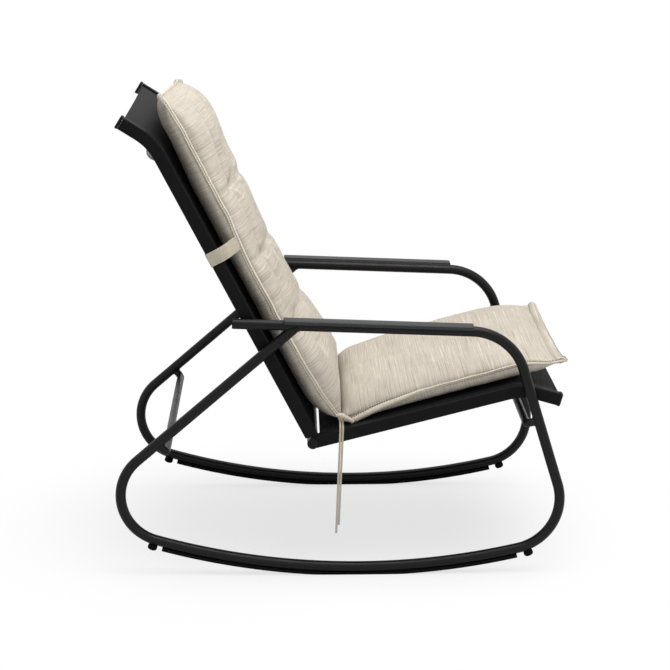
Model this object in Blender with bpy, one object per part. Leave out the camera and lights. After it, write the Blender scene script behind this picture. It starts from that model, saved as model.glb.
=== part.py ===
# Outdoor rocking chair: two bent-tube side frames on curved rockers, a grooved-rail
# sling seat and back bolted between them, and a loose tufted cushion on the sling.
# Metres, +Z up. The chair faces +X, and +Y is the sitter's left hand.
import math

import bmesh
import bpy
from mathutils import Vector
from mathutils.geometry import tessellate_polygon

# Clearance between pieces that touch
GAP = 0.0003

# Side frames: one bent tube each, placed by the axis lines of its straight runs
FRAME_SPACING = 0.580
TUBE_D = 0.020
TUBE_WALL = 0.0014
ARM_HEIGHT = 0.5144
ARM_SLOPE = 2.23
ARM_TAIL = 0.0288
FRONT_LEG_FOOT_X = 0.4577
FRONT_LEG_LEAN = 17.16
REAR_LEG_FOOT_X = -0.7273
REAR_LEG_LEAN = 49.32
ROCKER_R = 1.432
ARM_BEND_R = 0.1126
FRONT_BEND_R = 0.1059
REAR_BEND_R = 0.0967
BEND_STEP = 11.0
ROCKER_STEP = 2.4

# Plastic plugs in the open tube ends
PLUG_LIP = 0.002
PLUG_DEPTH = 0.010

# Wear strips under the rockers, and the round stops past their ends
STRIP_W = 0.014
STRIP_T = 0.008
STRIP_STANDOFF = 0.0005
STRIP_CHAMFER = 0.0025
STRIP_FLAT = 0.19
STRIP_REAR_INSET = 0.65
STRIP_FRONT_INSET = 0.2
STOP_R = 0.0095
STOP_H = 0.0145
STOP_REAR_PAST = 1.75
STOP_FRONT_PAST = 8.9

# Arm pads: flat planks let down over the tube and reaching outwards
PAD_REAR_X = -0.1497
PAD_FRONT_X = 0.2239
PAD_OUT = 0.0289
PAD_IN = 0.0048
PAD_T = 0.0054
PAD_RISE = 0.0022
PAD_EDGE = 0.0012

# U-shaped crossbars that stand off the legs
BAR_D = 0.016
BAR_WALL = 0.0012
BAR_OFFSET = 0.025
BAR_BEND_R = 0.012
REAR_BAR_Z = 0.2806
FRONT_BAR_Z = 0.3237

# Grooved rails of the seat and the back
RAIL_D = 0.025
RAIL_W = 0.020
RAIL_WALL = 0.0015
RAIL_SIDE_GAP = 0.0015
GROOVE_FROM_FRONT = 0.0045
GROOVE_ZONE = 0.0095
GROOVE_BORE_R = 0.0032
GROOVE_DEPTH = 0.0048
GROOVE_MOUTH = 0.0026
BACK_LEAN = 27.28
BACK_REAR_X = 0.0401
HEAD_START = 0.9526
HEAD_BEND = 30.5
HEAD_BEND_R = 0.1175
HEAD_END = 0.0385
SEAT_PITCH = 14.33
SEAT_LOW_Z = 0.2863
NOSE_START = 0.311
NOSE_BEND = 30.2
NOSE_BEND_R = 0.110
NOSE_END = 0.044
CAP_T = 0.0065
CAP_LIP = 0.001
CAP_DEPTH = 0.008

# Cross tube where seat and back meet, and the bowed bar high behind the back
CROSS_X = -0.0924
CROSS_D = 0.022
CROSS_WALL = 0.0015
SPREADER_S = 0.950
SPREADER_D = 0.015
SPREADER_BOW = 0.038

# Slings with a hem round a spline rod at each side
SLING_T = 0.0012
HEM_R = 0.0028
ROD_R = 0.0018
HEM_HOLE_R = 0.0020
BACK_HEM_DIP = 0.012

# Bolts from the inner side of the rails into inserts in the side frames
BOLT_R = 0.0030
BOLT_HEAD_R = 0.0050
BOLT_HEAD_H = 0.0038
BOLT_REACH = 0.0095
BOLT_BACKSET = 0.0030
INSERT_R = 0.0046
INSERT_LENGTH = 0.011
WASHER_R = 0.0080

# Cushion
CUSHION_HALF_W = 0.248
PAD_JOIN_X = -0.0336
PAD_JOIN_GAP = 0.002
BACK_PAD_START = 0.318
BACK_PAD_END = 1.044
BACK_SKEW = 0.014
BACK_DIP = 0.014
BACK_SEAM_D = 0.062
BACK_CROWN = 0.0245
HEAD_SWELL = 0.014
LOW_SWELL = 0.014
EAR_R = 0.032
SEAT_PAD_END = 0.440
SEAT_FLANGE = 0.017
SEAT_SEAM_H = 0.0565
SEAT_CROWN = 0.0225
PAD_REST = 0.0004
TUFT_ROWS = 3
TUFT_PITCH = 0.1485
TUFT_FIRST = 0.2335
TUFT_SLANT = 0.07
TUFT_HALF_COLUMN = 0.115
TUFT_DEPTH = 0.016
TUFT_SPREAD = 0.030

# Elastic strap round the back, and the two tails of the corner tie
STRAP_S = 0.730
STRAP_W = 0.028
STRAP_T = 0.0012
TIE_W = 0.006
TIE_T = 0.0010
TIE_X = -0.0345
TIE_SWAY = 0.0085
TIE_LONG_END = 0.087
TIE_SHORT_END = 0.104

# Colours, roughness and metallic values
LOOKS = {
    "frame": ((0.016, 0.016, 0.017), 0.42, 0.0),
    "pad": ((0.075, 0.077, 0.080), 0.55, 0.0),
    "plastic": ((0.010, 0.010, 0.010), 0.50, 0.0),
    "rubber": ((0.012, 0.012, 0.012), 0.75, 0.0),
    "sling": ((0.045, 0.045, 0.047), 0.80, 0.0),
    "rod": ((0.30, 0.30, 0.30), 0.55, 0.0),
    "steel": ((0.45, 0.45, 0.46), 0.35, 1.0),
    "cushion": ((0.62, 0.55, 0.45), 0.90, 0.0),
    "webbing": ((0.66, 0.60, 0.50), 0.85, 0.0),
}

SIDES = (("right", -1.0), ("left", 1.0))
TUBE_R = TUBE_D / 2
FRAME_Y = FRAME_SPACING / 2
RAIL_OUT_Y = FRAME_Y - TUBE_R - RAIL_SIDE_GAP
RAIL_IN_Y = RAIL_OUT_Y - RAIL_W
ROCKER_AXIS_Z = STRIP_T + STRIP_STANDOFF + TUBE_R
SLING_A = RAIL_D / 2 - GROOVE_FROM_FRONT
Y_AXIS = Vector((0.0, 1.0, 0.0))


def clear_scene():
    for item in list(bpy.data.objects):
        bpy.data.objects.remove(item, do_unlink=True)


def look(name):
    """Principled material for one of the named looks."""
    if name in bpy.data.materials:
        return bpy.data.materials[name]
    colour, rough, metal = LOOKS[name]
    material = bpy.data.materials.new(name)
    material.use_nodes = True
    shader = material.node_tree.nodes["Principled BSDF"]
    shader.inputs["Base Color"].default_value = (*colour, 1.0)
    shader.inputs["Roughness"].default_value = rough
    shader.inputs["Metallic"].default_value = metal
    material.diffuse_color = (*colour, 1.0)
    return material


def make(name, bm, look_name, smooth=35.0):
    """Turn a bmesh into a named object under the chair's empty."""
    bmesh.ops.recalc_face_normals(bm, faces=bm.faces)
    if bm.calc_volume(signed=True) < 0.0:
        bmesh.ops.reverse_faces(bm, faces=bm.faces)
    mesh = bpy.data.meshes.new(name)
    bm.to_mesh(mesh)
    bm.free()
    mesh.shade_smooth()
    mesh.set_sharp_from_angle(angle=math.radians(smooth))
    mesh.materials.append(look(look_name))
    item = bpy.data.objects.new(name, mesh)
    bpy.context.collection.objects.link(item)
    item.parent = bpy.data.objects.get("chair")
    return item


def cut(target, bm):
    """Take a cutter's bodies out of an object."""
    cutter = make("cut_" + target.name, bm, "plastic")
    cutter.hide_render = True
    cutter.display_type = "WIRE"
    modifier = target.modifiers.new("cut", "BOOLEAN")
    modifier.operation = "DIFFERENCE"
    modifier.solver = "EXACT"
    modifier.object = cutter


def skin(bm, rings, holes=()):
    """Closed body from rings of points: outer skin, tunnel skins and two end faces."""
    grids = []
    for rows in [rings, *holes]:
        grids.append([[bm.verts.new(p) for p in ring] for ring in rows])
    for grid in grids:
        count = len(grid[0])
        for lower, upper in zip(grid, grid[1:]):
            for i in range(count):
                j = (i + 1) % count
                bm.faces.new((lower[i], lower[j], upper[j], upper[i]))
    for end in (0, -1):
        if len(grids) == 2 and len(grids[0][end]) == len(grids[1][end]):
            wide, narrow = grids[0][end], grids[1][end]
            for i in range(len(wide)):
                j = (i + 1) % len(wide)
                bm.faces.new((wide[i], wide[j], narrow[j], narrow[i]))
            continue
        outline = [[v.co.copy() for v in grid[end]] for grid in grids]
        flat = [v for grid in grids for v in grid[end]]
        for tri in tessellate_polygon(outline):
            bm.faces.new([flat[i] for i in tri])
    return bm


def circle(radius, count, phase=0.0):
    step = math.tau / count
    return [(radius * math.cos(phase + k * step), radius * math.sin(phase + k * step))
            for k in range(count)]


def ring(centre, axis_a, axis_b, section):
    return [centre + axis_a * a + axis_b * b for a, b in section]


def turned(bm, origin, axis, profile, count=14):
    """Solid of revolution: profile holds (distance along the axis, radius) pairs."""
    axis = axis.normalized()
    across = axis.orthogonal().normalized()
    other = axis.cross(across)
    rings = [ring(origin + axis * s, across, other, circle(r, count)) for s, r in profile]
    return skin(bm, rings)


def bored(bm, origin, axis, length, outer, inner, count=14):
    """Plain tube along an axis."""
    axis = axis.normalized()
    across = axis.orthogonal().normalized()
    other = axis.cross(across)
    ends = (origin, origin + axis * length)
    return skin(bm, [ring(p, across, other, circle(outer, count)) for p in ends],
                [[ring(p, across, other, circle(inner, count)) for p in ends]])


def vec(x, z, y=0.0):
    return Vector((x, y, z))


def line_meet(n1, d1, n2, d2):
    """Point in the side plane on both lines n.p = d."""
    det = n1.x * n2.z - n1.z * n2.x
    return vec((d1 * n2.z - d2 * n1.z) / det, (n1.x * d2 - n2.x * d1) / det)


def heading(degrees):
    return vec(math.cos(math.radians(degrees)), math.sin(math.radians(degrees)))


# Axis lines of the side frame, as outward normals and offsets in the side plane
ARM_N = heading(90.0 - ARM_SLOPE)
ARM_T = vec(ARM_N.z, -ARM_N.x)
ARM_OFF = ARM_N.z * ARM_HEIGHT
FRONT_N = heading(FRONT_LEG_LEAN)
FRONT_OFF = FRONT_N.x * FRONT_LEG_FOOT_X
REAR_N = heading(180.0 - REAR_LEG_LEAN)
REAR_OFF = REAR_N.x * REAR_LEG_FOOT_X
REAR_T = vec(REAR_N.z, -REAR_N.x)
ROCKER_C = vec(0.0, ROCKER_AXIS_Z + ROCKER_R)


def rocker_fillet(normal, offset, radius, side):
    """Centre of a bend that blends a leg into the rocker arc."""
    reach = offset - radius - normal.dot(ROCKER_C)
    along = math.sqrt((ROCKER_R - radius) ** 2 - reach ** 2)
    return ROCKER_C + normal * reach + vec(-normal.z, normal.x) * (side * along)


ARM_C = line_meet(ARM_N, ARM_OFF - ARM_BEND_R, FRONT_N, FRONT_OFF - ARM_BEND_R)
FRONT_C = rocker_fillet(FRONT_N, FRONT_OFF, FRONT_BEND_R, -1.0)
REAR_C = rocker_fillet(REAR_N, REAR_OFF, REAR_BEND_R, 1.0)


def polar(v):
    return math.degrees(math.atan2(v.z, v.x))


def arc(centre, radius, start, end, step):
    """Stations round a bend, each a point and its outward normal."""
    count = max(1, math.ceil(abs(end - start) / step))
    out = []
    for k in range(count + 1):
        normal = heading(start + (end - start) * k / count)
        out.append((centre + normal * radius, normal))
    return out


def rocker_angles(front, rear):
    """Angles down the rocker with one flat facet square under the lowest point."""
    inner = []
    k = -40
    while k < 40:
        angle = (k + 0.5) * ROCKER_STEP
        if -rear + 0.4 < angle < front - 0.4:
            inner.append(angle)
        k += 1
    return [front] + inner[::-1] + [-rear]


def arm_point(x):
    return vec(x, (ARM_OFF - ARM_N.x * x) / ARM_N.z)


def arm_end():
    """Rear end of the arm tube, a set distance behind the back rail's bolt."""
    return arm_point(back_bolt_point().x - ARM_TAIL)


def rocker_ends():
    """Angles from straight down at which the rocker meets its front and rear bends."""
    return polar(FRONT_C - ROCKER_C) + 90.0, -(polar(REAR_C - ROCKER_C) + 90.0)


def frame_path():
    """Stations of the tube axis from the arm's rear end round to the rear leg."""
    front_e = polar(FRONT_C - ROCKER_C)
    rear_e = polar(REAR_C - ROCKER_C)
    path = [(arm_end(), ARM_N)]
    path += arc(ARM_C, ARM_BEND_R, polar(ARM_N), FRONT_LEG_LEAN, BEND_STEP)
    path += arc(FRONT_C, FRONT_BEND_R, FRONT_LEG_LEAN, front_e, BEND_STEP)
    for angle in rocker_angles(front_e + 90.0, -(rear_e + 90.0))[1:-1]:
        normal = heading(angle - 90.0)
        path.append((ROCKER_C + normal * ROCKER_R, normal))
    path += arc(REAR_C, REAR_BEND_R, rear_e, polar(REAR_N) - 360.0, BEND_STEP)
    return path


def coped_ring(section, y):
    """End of the rear leg, shaped to the underside of the arm tube."""
    base = REAR_C + REAR_N * REAR_BEND_R
    out = []
    for a, b in section:
        drop = math.sqrt(max(0.0, (TUBE_R + GAP) ** 2 - b * b))
        start = base + REAR_N * a
        run = (ARM_OFF - drop - ARM_N.dot(start)) / ARM_N.dot(REAR_T)
        out.append(start + REAR_T * run + Y_AXIS * (y + b))
    return out


def build_side_frame(side_name, side):
    y = side * FRAME_Y
    shift = Y_AXIS * y
    outer = circle(TUBE_R, 12)
    inner = circle(TUBE_R - TUBE_WALL, 12)
    path = frame_path()
    skins = []
    for section in (outer, inner):
        rows = [ring(p + shift, n, Y_AXIS, section) for p, n in path]
        rows.append(coped_ring(section, y))
        skins.append(rows)
    item = make("side_frame_" + side_name, skin(bmesh.new(), skins[0], [skins[1]]), "frame")
    holes = bmesh.new()
    for spot in (back_bolt_point(), seat_bolt_point()):
        start = spot + Y_AXIS * (side * (FRAME_Y - TUBE_R - 0.003))
        turned(holes, start, Y_AXIS * side, [(0.0, INSERT_R + GAP), (0.003 + TUBE_R, INSERT_R + GAP)])
    cut(item, holes)
    bm = bmesh.new()
    grip = TUBE_R - TUBE_WALL - 2 * GAP
    turned(bm, arm_end() + shift, ARM_T,
           [(PLUG_DEPTH, grip), (-GAP, grip), (-GAP, TUBE_R), (-PLUG_LIP, TUBE_R - 0.0008)])
    make("arm_plug_" + side_name, bm, "plastic")


def build_arm_pad(side_name, side):
    clear = TUBE_R + GAP
    top = TUBE_R + PAD_RISE
    low = min(top - PAD_T, 0.9 * clear)
    foot = math.sqrt(clear ** 2 - low ** 2)
    lap = min(PAD_IN, 0.8 * clear)
    first = math.atan2(low, foot)
    last = math.pi - math.atan2(math.sqrt(clear ** 2 - lap ** 2), lap)
    section = [(-lap, top - PAD_EDGE), (-lap + PAD_EDGE, top), (PAD_OUT - 2 * PAD_EDGE, top),
               (PAD_OUT, top - 1.5 * PAD_EDGE), (PAD_OUT, low + PAD_EDGE), (PAD_OUT - PAD_EDGE, low)]
    section += [(clear * math.cos(first + (last - first) * k / 5),
                 clear * math.sin(first + (last - first) * k / 5)) for k in range(6)]
    length = (PAD_FRONT_X - PAD_REAR_X) / ARM_T.x
    rows = []
    for s, draw in ((0.0, 0.0060), (0.0015, 0.0030), (0.006, 0.0), (length - 0.006, 0.0),
                    (length - 0.0015, 0.0030), (length, 0.0060)):
        centre = arm_point(PAD_REAR_X) + ARM_T * s + Y_AXIS * (side * FRAME_Y)
        row = []
        for out, up in section:
            reach = out - draw if out > foot + draw else out
            row.append(centre + Y_AXIS * (side * reach) + ARM_N * up)
        rows.append(row)
    make("arm_pad_" + side_name, skin(bmesh.new(), rows), "pad")


def build_rocker_feet(side_name, side):
    shift = Y_AXIS * (side * FRAME_Y)
    high = TUBE_R + STRIP_STANDOFF
    low = high + STRIP_T
    half = STRIP_W / 2
    section = [(high, -half), (high, half), (low - STRIP_CHAMFER, half), (low, half - STRIP_CHAMFER),
               (low, STRIP_CHAMFER - half), (low - STRIP_CHAMFER, -half)]
    rows = []
    front_end, rear_end = rocker_ends()
    worn = math.asin(STRIP_FLAT / 2 / (ROCKER_R + low))
    floor = ROCKER_C.z - (ROCKER_R + low) * math.cos(worn)
    angles = rocker_angles(front_end - STRIP_FRONT_INSET, rear_end - STRIP_REAR_INSET)
    for angle in sorted(angles + [math.degrees(worn), -math.degrees(worn)], reverse=True):
        normal = heading(angle - 90.0)
        row = ring(ROCKER_C + normal * ROCKER_R + shift, normal, Y_AXIS, section)
        for point in row:
            point.z = max(point.z, floor)
        rows.append(row)
    make("rocker_strip_" + side_name, skin(bmesh.new(), rows), "rubber")
    for end, centre, radius, angle in (("front", FRONT_C, FRONT_BEND_R, front_end + STOP_FRONT_PAST - 90.0),
                                       ("rear", REAR_C, REAR_BEND_R, -rear_end - STOP_REAR_PAST - 90.0)):
        normal = heading(angle)
        seat = centre + normal * (radius + TUBE_R + GAP) + shift
        bm = turned(bmesh.new(), seat, normal,
                    [(0.0, STOP_R * 0.85), (STOP_H * 0.2, STOP_R), (STOP_H * 0.75, STOP_R),
                     (STOP_H, STOP_R * 0.6)])
        make("rocker_stop_" + end + "_" + side_name, bm, "rubber")


def build_crossbar(name, leg, away):
    """U-shaped bar: leg is the point on the leg's axis, away the stub's direction."""
    along = vec(-away.z, away.x)
    radius = BAR_D / 2
    half = []
    for k in range(7):
        turn = math.radians(90.0 * k / 6)
        out = Vector((0.0, -math.cos(turn), math.sin(turn)))
        y = -FRAME_Y + BAR_BEND_R + out.y * BAR_BEND_R
        m = BAR_OFFSET - BAR_BEND_R + out.z * BAR_BEND_R
        half.append((y, m, out.y, out.z))
    stations = half + [(-y, m, -oy, oz) for y, m, oy, oz in half[::-1]]
    skins = []
    for section in (circle(radius, 12, 0.13), circle(radius - BAR_WALL, 12, 0.13)):
        rows = []
        for y, m, oy, oz in stations:
            centre = leg + away * m + Y_AXIS * y
            rows.append(ring(centre, along, Y_AXIS * oy + away * oz, section))
        for sign, where in ((-1.0, 0), (1.0, len(rows))):
            end = []
            for a, b in section:
                rise = math.sqrt((TUBE_R + GAP) ** 2 - b * b)
                end.append(leg + along * a + Y_AXIS * sign * (FRAME_Y + b) + away * rise)
            rows.insert(where, end)
        skins.append(rows)
    make(name, skin(bmesh.new(), skins[0], [skins[1]]), "frame")


# Local axes of the back and the seat in the side plane
BACK_U = heading(90.0 + BACK_LEAN)
BACK_N = vec(BACK_U.z, -BACK_U.x)
BACK_Q = vec(BACK_REAR_X, 0.0)
SEAT_U = heading(SEAT_PITCH)
SEAT_N = vec(-SEAT_U.z, SEAT_U.x)
SEAT_Q = vec(0.0, SEAT_LOW_Z)


def back_point(s, d):
    """Point s up the back from the floor line and d in front of the rails' rear edge."""
    return BACK_Q + BACK_U * s + BACK_N * d


def seat_point(g, h):
    """Point g forward along the seat and h above the rails' lower edge."""
    return SEAT_Q + SEAT_U * g + SEAT_N * h


def cross_centre():
    z = SEAT_LOW_Z + math.tan(math.radians(SEAT_PITCH)) * CROSS_X
    return vec(CROSS_X, z + CROSS_D / 2 / math.cos(math.radians(SEAT_PITCH)))


def seat_meets_back(d):
    """Distance up the back at which depth d reaches the seat rail's top edge."""
    start = back_point(0.0, d)
    return (RAIL_D + GAP - SEAT_N.dot(start - SEAT_Q)) / SEAT_N.dot(BACK_U)


def bend_path(start, normal, run, bend, radius, tail, step=6.0):
    """Straight run, one bend away from the normal, and a straight tail."""
    tangent = vec(-normal.z, normal.x)
    sign = 1.0 if BACK_N is normal else -1.0
    if sign < 0:
        tangent = vec(normal.z, -normal.x)
    path = [(start, normal), (start + tangent * run, normal)]
    centre = start + tangent * run - normal * radius
    first = polar(normal)
    last = first + sign * bend
    path += arc(centre, radius, first, last, step)[1:]
    end, out = path[-1]
    tangent = vec(-out.z, out.x) * sign
    path.append((end + tangent * tail, out))
    return path


def back_path():
    """Centre line of a back rail, from the seat to the head end."""
    start = back_point(seat_meets_back(RAIL_D / 2), RAIL_D / 2)
    run = HEAD_START - (start - BACK_Q).dot(BACK_U)
    return bend_path(start, BACK_N, run, HEAD_BEND, HEAD_BEND_R, HEAD_END)


def seat_path():
    """Centre line of a seat rail, from the cross tube to the front end."""
    first = (cross_centre() - SEAT_Q).dot(SEAT_U) + CROSS_D * 0.25
    start = seat_point(first, RAIL_D / 2)
    return bend_path(start, SEAT_N, NOSE_START - first, NOSE_BEND, NOSE_BEND_R, NOSE_END)


def back_bolt_point():
    """Where the arm's axis passes the back rail, set a little behind the groove."""
    depth = RAIL_D / 2 - BOLT_BACKSET
    return line_meet(ARM_N, ARM_OFF, BACK_N, BACK_N.dot(back_point(0.0, depth)))


def seat_bolt_point():
    """Where the front leg's axis passes the seat rail, set a little below the groove."""
    line = [p - n * BOLT_BACKSET for p, n in seat_path()]
    for p, q in zip(line, line[1:]):
        before = FRONT_N.dot(p) - FRONT_OFF
        after = FRONT_N.dot(q) - FRONT_OFF
        if before <= 0.0 <= after:
            return p + (q - p) * (before / (before - after))
    raise ValueError("the front leg does not pass the seat rail")


def rail_section(side):
    """Outline of a rail with the sling's groove on its inner face, and its hollow."""
    half = RAIL_D / 2
    inner = side * RAIL_IN_Y
    outer = side * RAIL_OUT_Y
    bore_y = side * (RAIL_IN_Y + GROOVE_DEPTH)
    mouth = GROOVE_MOUTH / 2
    lip = math.asin(mouth / GROOVE_BORE_R)
    outline = [(half, inner), (SLING_A + mouth, inner)]
    for k in range(10):
        turn = lip + (math.tau - 2 * lip) * k / 9
        outline.append((SLING_A + GROOVE_BORE_R * math.sin(turn),
                        bore_y - side * GROOVE_BORE_R * math.cos(turn)))
    outline += [(SLING_A - mouth, inner), (-half, inner), (-half, outer), (half, outer)]
    low = -half + RAIL_WALL
    high = half - GROOVE_ZONE
    near = side * (RAIL_IN_Y + RAIL_WALL)
    far = side * (RAIL_OUT_Y - RAIL_WALL)
    return outline, [(low, near), (low, far), (high, far), (high, near)]


def build_rail(name, path, side, bolt, square_start):
    """Rail swept along its path; a square start stays flat, else it meets the seat rail."""
    skins = []
    for section in rail_section(side):
        rows = [ring(p, n, Y_AXIS, section) for p, n in path]
        if not square_start:
            start, normal = path[0]
            rows[0] = []
            for a, b in section:
                s = seat_meets_back(RAIL_D / 2 + a)
                rows[0].append(back_point(s, RAIL_D / 2 + a) + Y_AXIS * b)
        skins.append(rows)
    item = make(name, skin(bmesh.new(), skins[0], [skins[1]]), "frame")
    cutters = bmesh.new()
    reach = RAIL_W + 0.004
    turned(cutters, bolt + Y_AXIS * (side * (RAIL_IN_Y - 0.002)), Y_AXIS * side,
           [(0.0, BOLT_R + GAP), (reach, BOLT_R + GAP)], 12)
    turned(cutters, cross_centre() + Y_AXIS * (side * (RAIL_IN_Y - 0.002)), Y_AXIS * side,
           [(0.0, CROSS_D / 2 + GAP), (reach, CROSS_D / 2 + GAP)], 20)
    cut(item, cutters)


def build_cap(name, station, tangent, side):
    """Plastic cap over a rail's end, with a tongue in its hollow."""
    centre, normal = station
    middle = side * (RAIL_IN_Y + RAIL_OUT_Y) / 2
    hollow = rail_section(side)[1]
    tongue_a = [hollow[0][0] + GAP, hollow[2][0] - GAP]
    tongue_b = RAIL_W / 2 - RAIL_WALL - GAP
    plate_a = RAIL_D / 2 + CAP_LIP
    plate_b = RAIL_W / 2 + CAP_LIP

    def box(low, high, half):
        return [(low, -half), (low, half), (high, half), (high, -half)]

    rows = []
    trim = 0.0012
    for s, section in ((-CAP_DEPTH, box(tongue_a[0], tongue_a[1], tongue_b)),
                       (GAP, box(tongue_a[0], tongue_a[1], tongue_b)),
                       (GAP, box(-plate_a, plate_a, plate_b)),
                       (CAP_T - trim, box(-plate_a, plate_a, plate_b)),
                       (CAP_T, box(-plate_a + trim, plate_a - trim, plate_b - trim))):
        origin = centre + tangent * s + Y_AXIS * middle
        rows.append(ring(origin, normal, Y_AXIS, section))
    make(name, skin(bmesh.new(), rows), "plastic")


def build_cross_tube():
    centre = cross_centre()
    bm = bored(bmesh.new(), centre - Y_AXIS * RAIL_OUT_Y, Y_AXIS, 2 * RAIL_OUT_Y,
               CROSS_D / 2, CROSS_D / 2 - CROSS_WALL, 20)
    make("seat_back_cross_tube", bm, "frame")
    grip = CROSS_D / 2 - CROSS_WALL - 2 * GAP
    for side_name, side in SIDES:
        bm = turned(bmesh.new(), centre + Y_AXIS * (side * RAIL_OUT_Y), Y_AXIS * side,
                    [(-PLUG_DEPTH, grip), (GAP, grip), (GAP, CROSS_D / 2 - 0.0002),
                     (RAIL_SIDE_GAP, CROSS_D / 2 - 0.001)], 20)
        make("cross_tube_plug_" + side_name, bm, "plastic")


def build_spreader():
    """Bowed tube between the back rails, clear behind the sling."""
    reach = RAIL_IN_Y - GAP
    skins = []
    for section in (circle(SPREADER_D / 2, 10), circle(SPREADER_D / 2 - BAR_WALL, 10)):
        rows = []
        for k in range(17):
            y = reach * (k / 8 - 1.0)
            depth = RAIL_D / 2 - 0.0035 - SPREADER_BOW * (1.0 - (y / reach) ** 2)
            rows.append(ring(back_point(SPREADER_S, depth) + Y_AXIS * y, BACK_N, BACK_U, section))
        skins.append(rows)
    make("back_spreader", skin(bmesh.new(), skins[0], [skins[1]]), "frame")


def sling_section():
    """Thin sheet with a round hem at each side, and the two rod tunnels."""
    bore_y = RAIL_IN_Y + GROOVE_DEPTH
    half = SLING_T / 2
    lip = math.asin(half / HEM_R)
    outline = []
    tunnels = []
    for side in (1.0, -1.0):
        for k in range(11):
            turn = lip + (math.tau - 2 * lip) * k / 10
            outline.append((SLING_A + side * HEM_R * math.sin(turn),
                            side * (bore_y - HEM_R * math.cos(turn))))
        for k in range(1, 8):
            y = side * RAIL_IN_Y * (1.0 - k / 4)
            outline.append((SLING_A - side * half, y))
        tunnels.append([(SLING_A + a, side * bore_y + b) for a, b in circle(HEM_HOLE_R, 8)])
    return outline, tunnels


def trim_path(path, start, end):
    """Shorten a path's straight ends."""
    p, n = path[0]
    q = path[1][0]
    first = p + (q - p).normalized() * start
    r, m = path[-1]
    t = path[-2][0]
    last = r + (t - r).normalized() * end
    return [(first, n)] + path[1:-1] + [(last, m)]


def build_sling(name, path, dip):
    """Sling along the rails; dip hollows the last hem between the rails."""
    outline, tunnels = sling_section()
    end, out = path[-1]
    back = (path[-2][0] - end).normalized()
    rows = []
    for p, n in path:
        rows.append(ring(p, n, Y_AXIS, outline))
    if dip:
        for k, (a, b) in enumerate(outline):
            hollow = dip * max(0.0, 1.0 - (b / RAIL_IN_Y) ** 2)
            rows[-1][k] = rows[-1][k] + back * hollow
    holes = [[ring(p, n, Y_AXIS, tunnel) for p, n in path] for tunnel in tunnels]
    make(name, skin(bmesh.new(), rows, holes), "sling")
    for side_name, side in SIDES:
        section = [(SLING_A + a, side * (RAIL_IN_Y + GROOVE_DEPTH) + b) for a, b in circle(ROD_R, 8)]
        rod = [ring(p, n, Y_AXIS, section) for p, n in path]
        make(name + "_rod_" + side_name, skin(bmesh.new(), rod), "rod")


def build_fasteners(side_name, side):
    """Bolts, the inserts they turn into, and the washers between rail and tube."""
    out = Y_AXIS * side
    inner = RAIL_IN_Y - GAP
    tip = FRAME_Y - TUBE_R + BOLT_REACH - inner
    for where, spot in (("back", back_bolt_point()), ("seat", seat_bolt_point())):
        tail = "_" + where + "_" + side_name
        bm = turned(bmesh.new(), spot + out * inner, out,
                    [(-BOLT_HEAD_H, BOLT_HEAD_R * 0.8), (-BOLT_HEAD_H * 0.6, BOLT_HEAD_R),
                     (0.0, BOLT_HEAD_R), (0.0, BOLT_R), (tip, BOLT_R)], 12)
        make("frame_bolt" + tail, bm, "steel")
        bm = bored(bmesh.new(), spot + out * (FRAME_Y - TUBE_R + 0.0009), out, INSERT_LENGTH,
                   INSERT_R, BOLT_R + GAP, 12)
        make("threaded_insert" + tail, bm, "steel")
        bm = bored(bmesh.new(), spot + out * (RAIL_OUT_Y + GAP), out, RAIL_SIDE_GAP - 2 * GAP,
                   WASHER_R, BOLT_R + 2 * GAP, 14)
        make("spacer_washer" + tail, bm, "plastic")


def edge_fall(t, power):
    """1 in the middle of -1..1, falling round to 0 at both ends."""
    return math.sqrt(max(0.0, 1.0 - abs(t) ** power))


def rounded(far, reach, power):
    """Rise from 0 at an end to 1 at reach behind it, as a quarter of a superellipse."""
    return edge_fall(1.0 - min(1.0, max(0.0, far / reach)), power)


def bell(t, width):
    return math.exp(-(t / width) ** 2)


def tuft_dip(run, y):
    """Depth of the sewn tufts and of the valleys between them, run below the back pad's end."""
    dip = 0.0
    last = TUFT_FIRST + (TUFT_ROWS - 1) * TUFT_PITCH
    ends = min(1.0, max(0.0, (run - TUFT_FIRST + 0.10) / 0.07))
    ends *= min(1.0, max(0.0, (last + 0.10 - run) / 0.07))
    for column in (-TUFT_HALF_COLUMN, TUFT_HALF_COLUMN):
        dip += 0.42 * TUFT_DEPTH * ends * bell(y - column, 0.7 * TUFT_SPREAD)
    for row in range(TUFT_ROWS):
        along = run - (TUFT_FIRST + row * TUFT_PITCH + TUFT_SLANT * y)
        dip += 0.33 * TUFT_DEPTH * bell(along, 0.6 * TUFT_SPREAD)
        for column in (-TUFT_HALF_COLUMN, TUFT_HALF_COLUMN):
            dip += 0.45 * TUFT_DEPTH * bell(math.hypot(along, y - column), 0.8 * TUFT_SPREAD)
    return dip


def cushion(name, count_u, count_v, place):
    """Pillow from a front and a rear grid that share the seam round the edge."""
    bm = bmesh.new()
    grids = {}
    for face in ("front", "rear"):
        for i in range(count_u + 1):
            for j in range(count_v + 1):
                rim = i in (0, count_u) or j in (0, count_v)
                key = ("rim", i, j) if rim else (face, i, j)
                if key not in grids:
                    u = 0.5 - 0.5 * math.cos(math.pi * i / count_u)
                    v = -math.cos(math.pi * j / count_v)
                    grids[key] = bm.verts.new(place(u, v, 0.0 if rim else
                                                    (1.0 if face == "front" else -1.0)))
    for face in ("front", "rear"):
        for i in range(count_u):
            for j in range(count_v):
                quad = []
                for p, q in ((i, j), (i + 1, j), (i + 1, j + 1), (i, j + 1)):
                    rim = p in (0, count_u) or q in (0, count_v)
                    quad.append(grids[("rim", p, q) if rim else (face, p, q)])
                bm.faces.new(quad)
    return make(name, bm, "cushion", 80.0)


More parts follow.
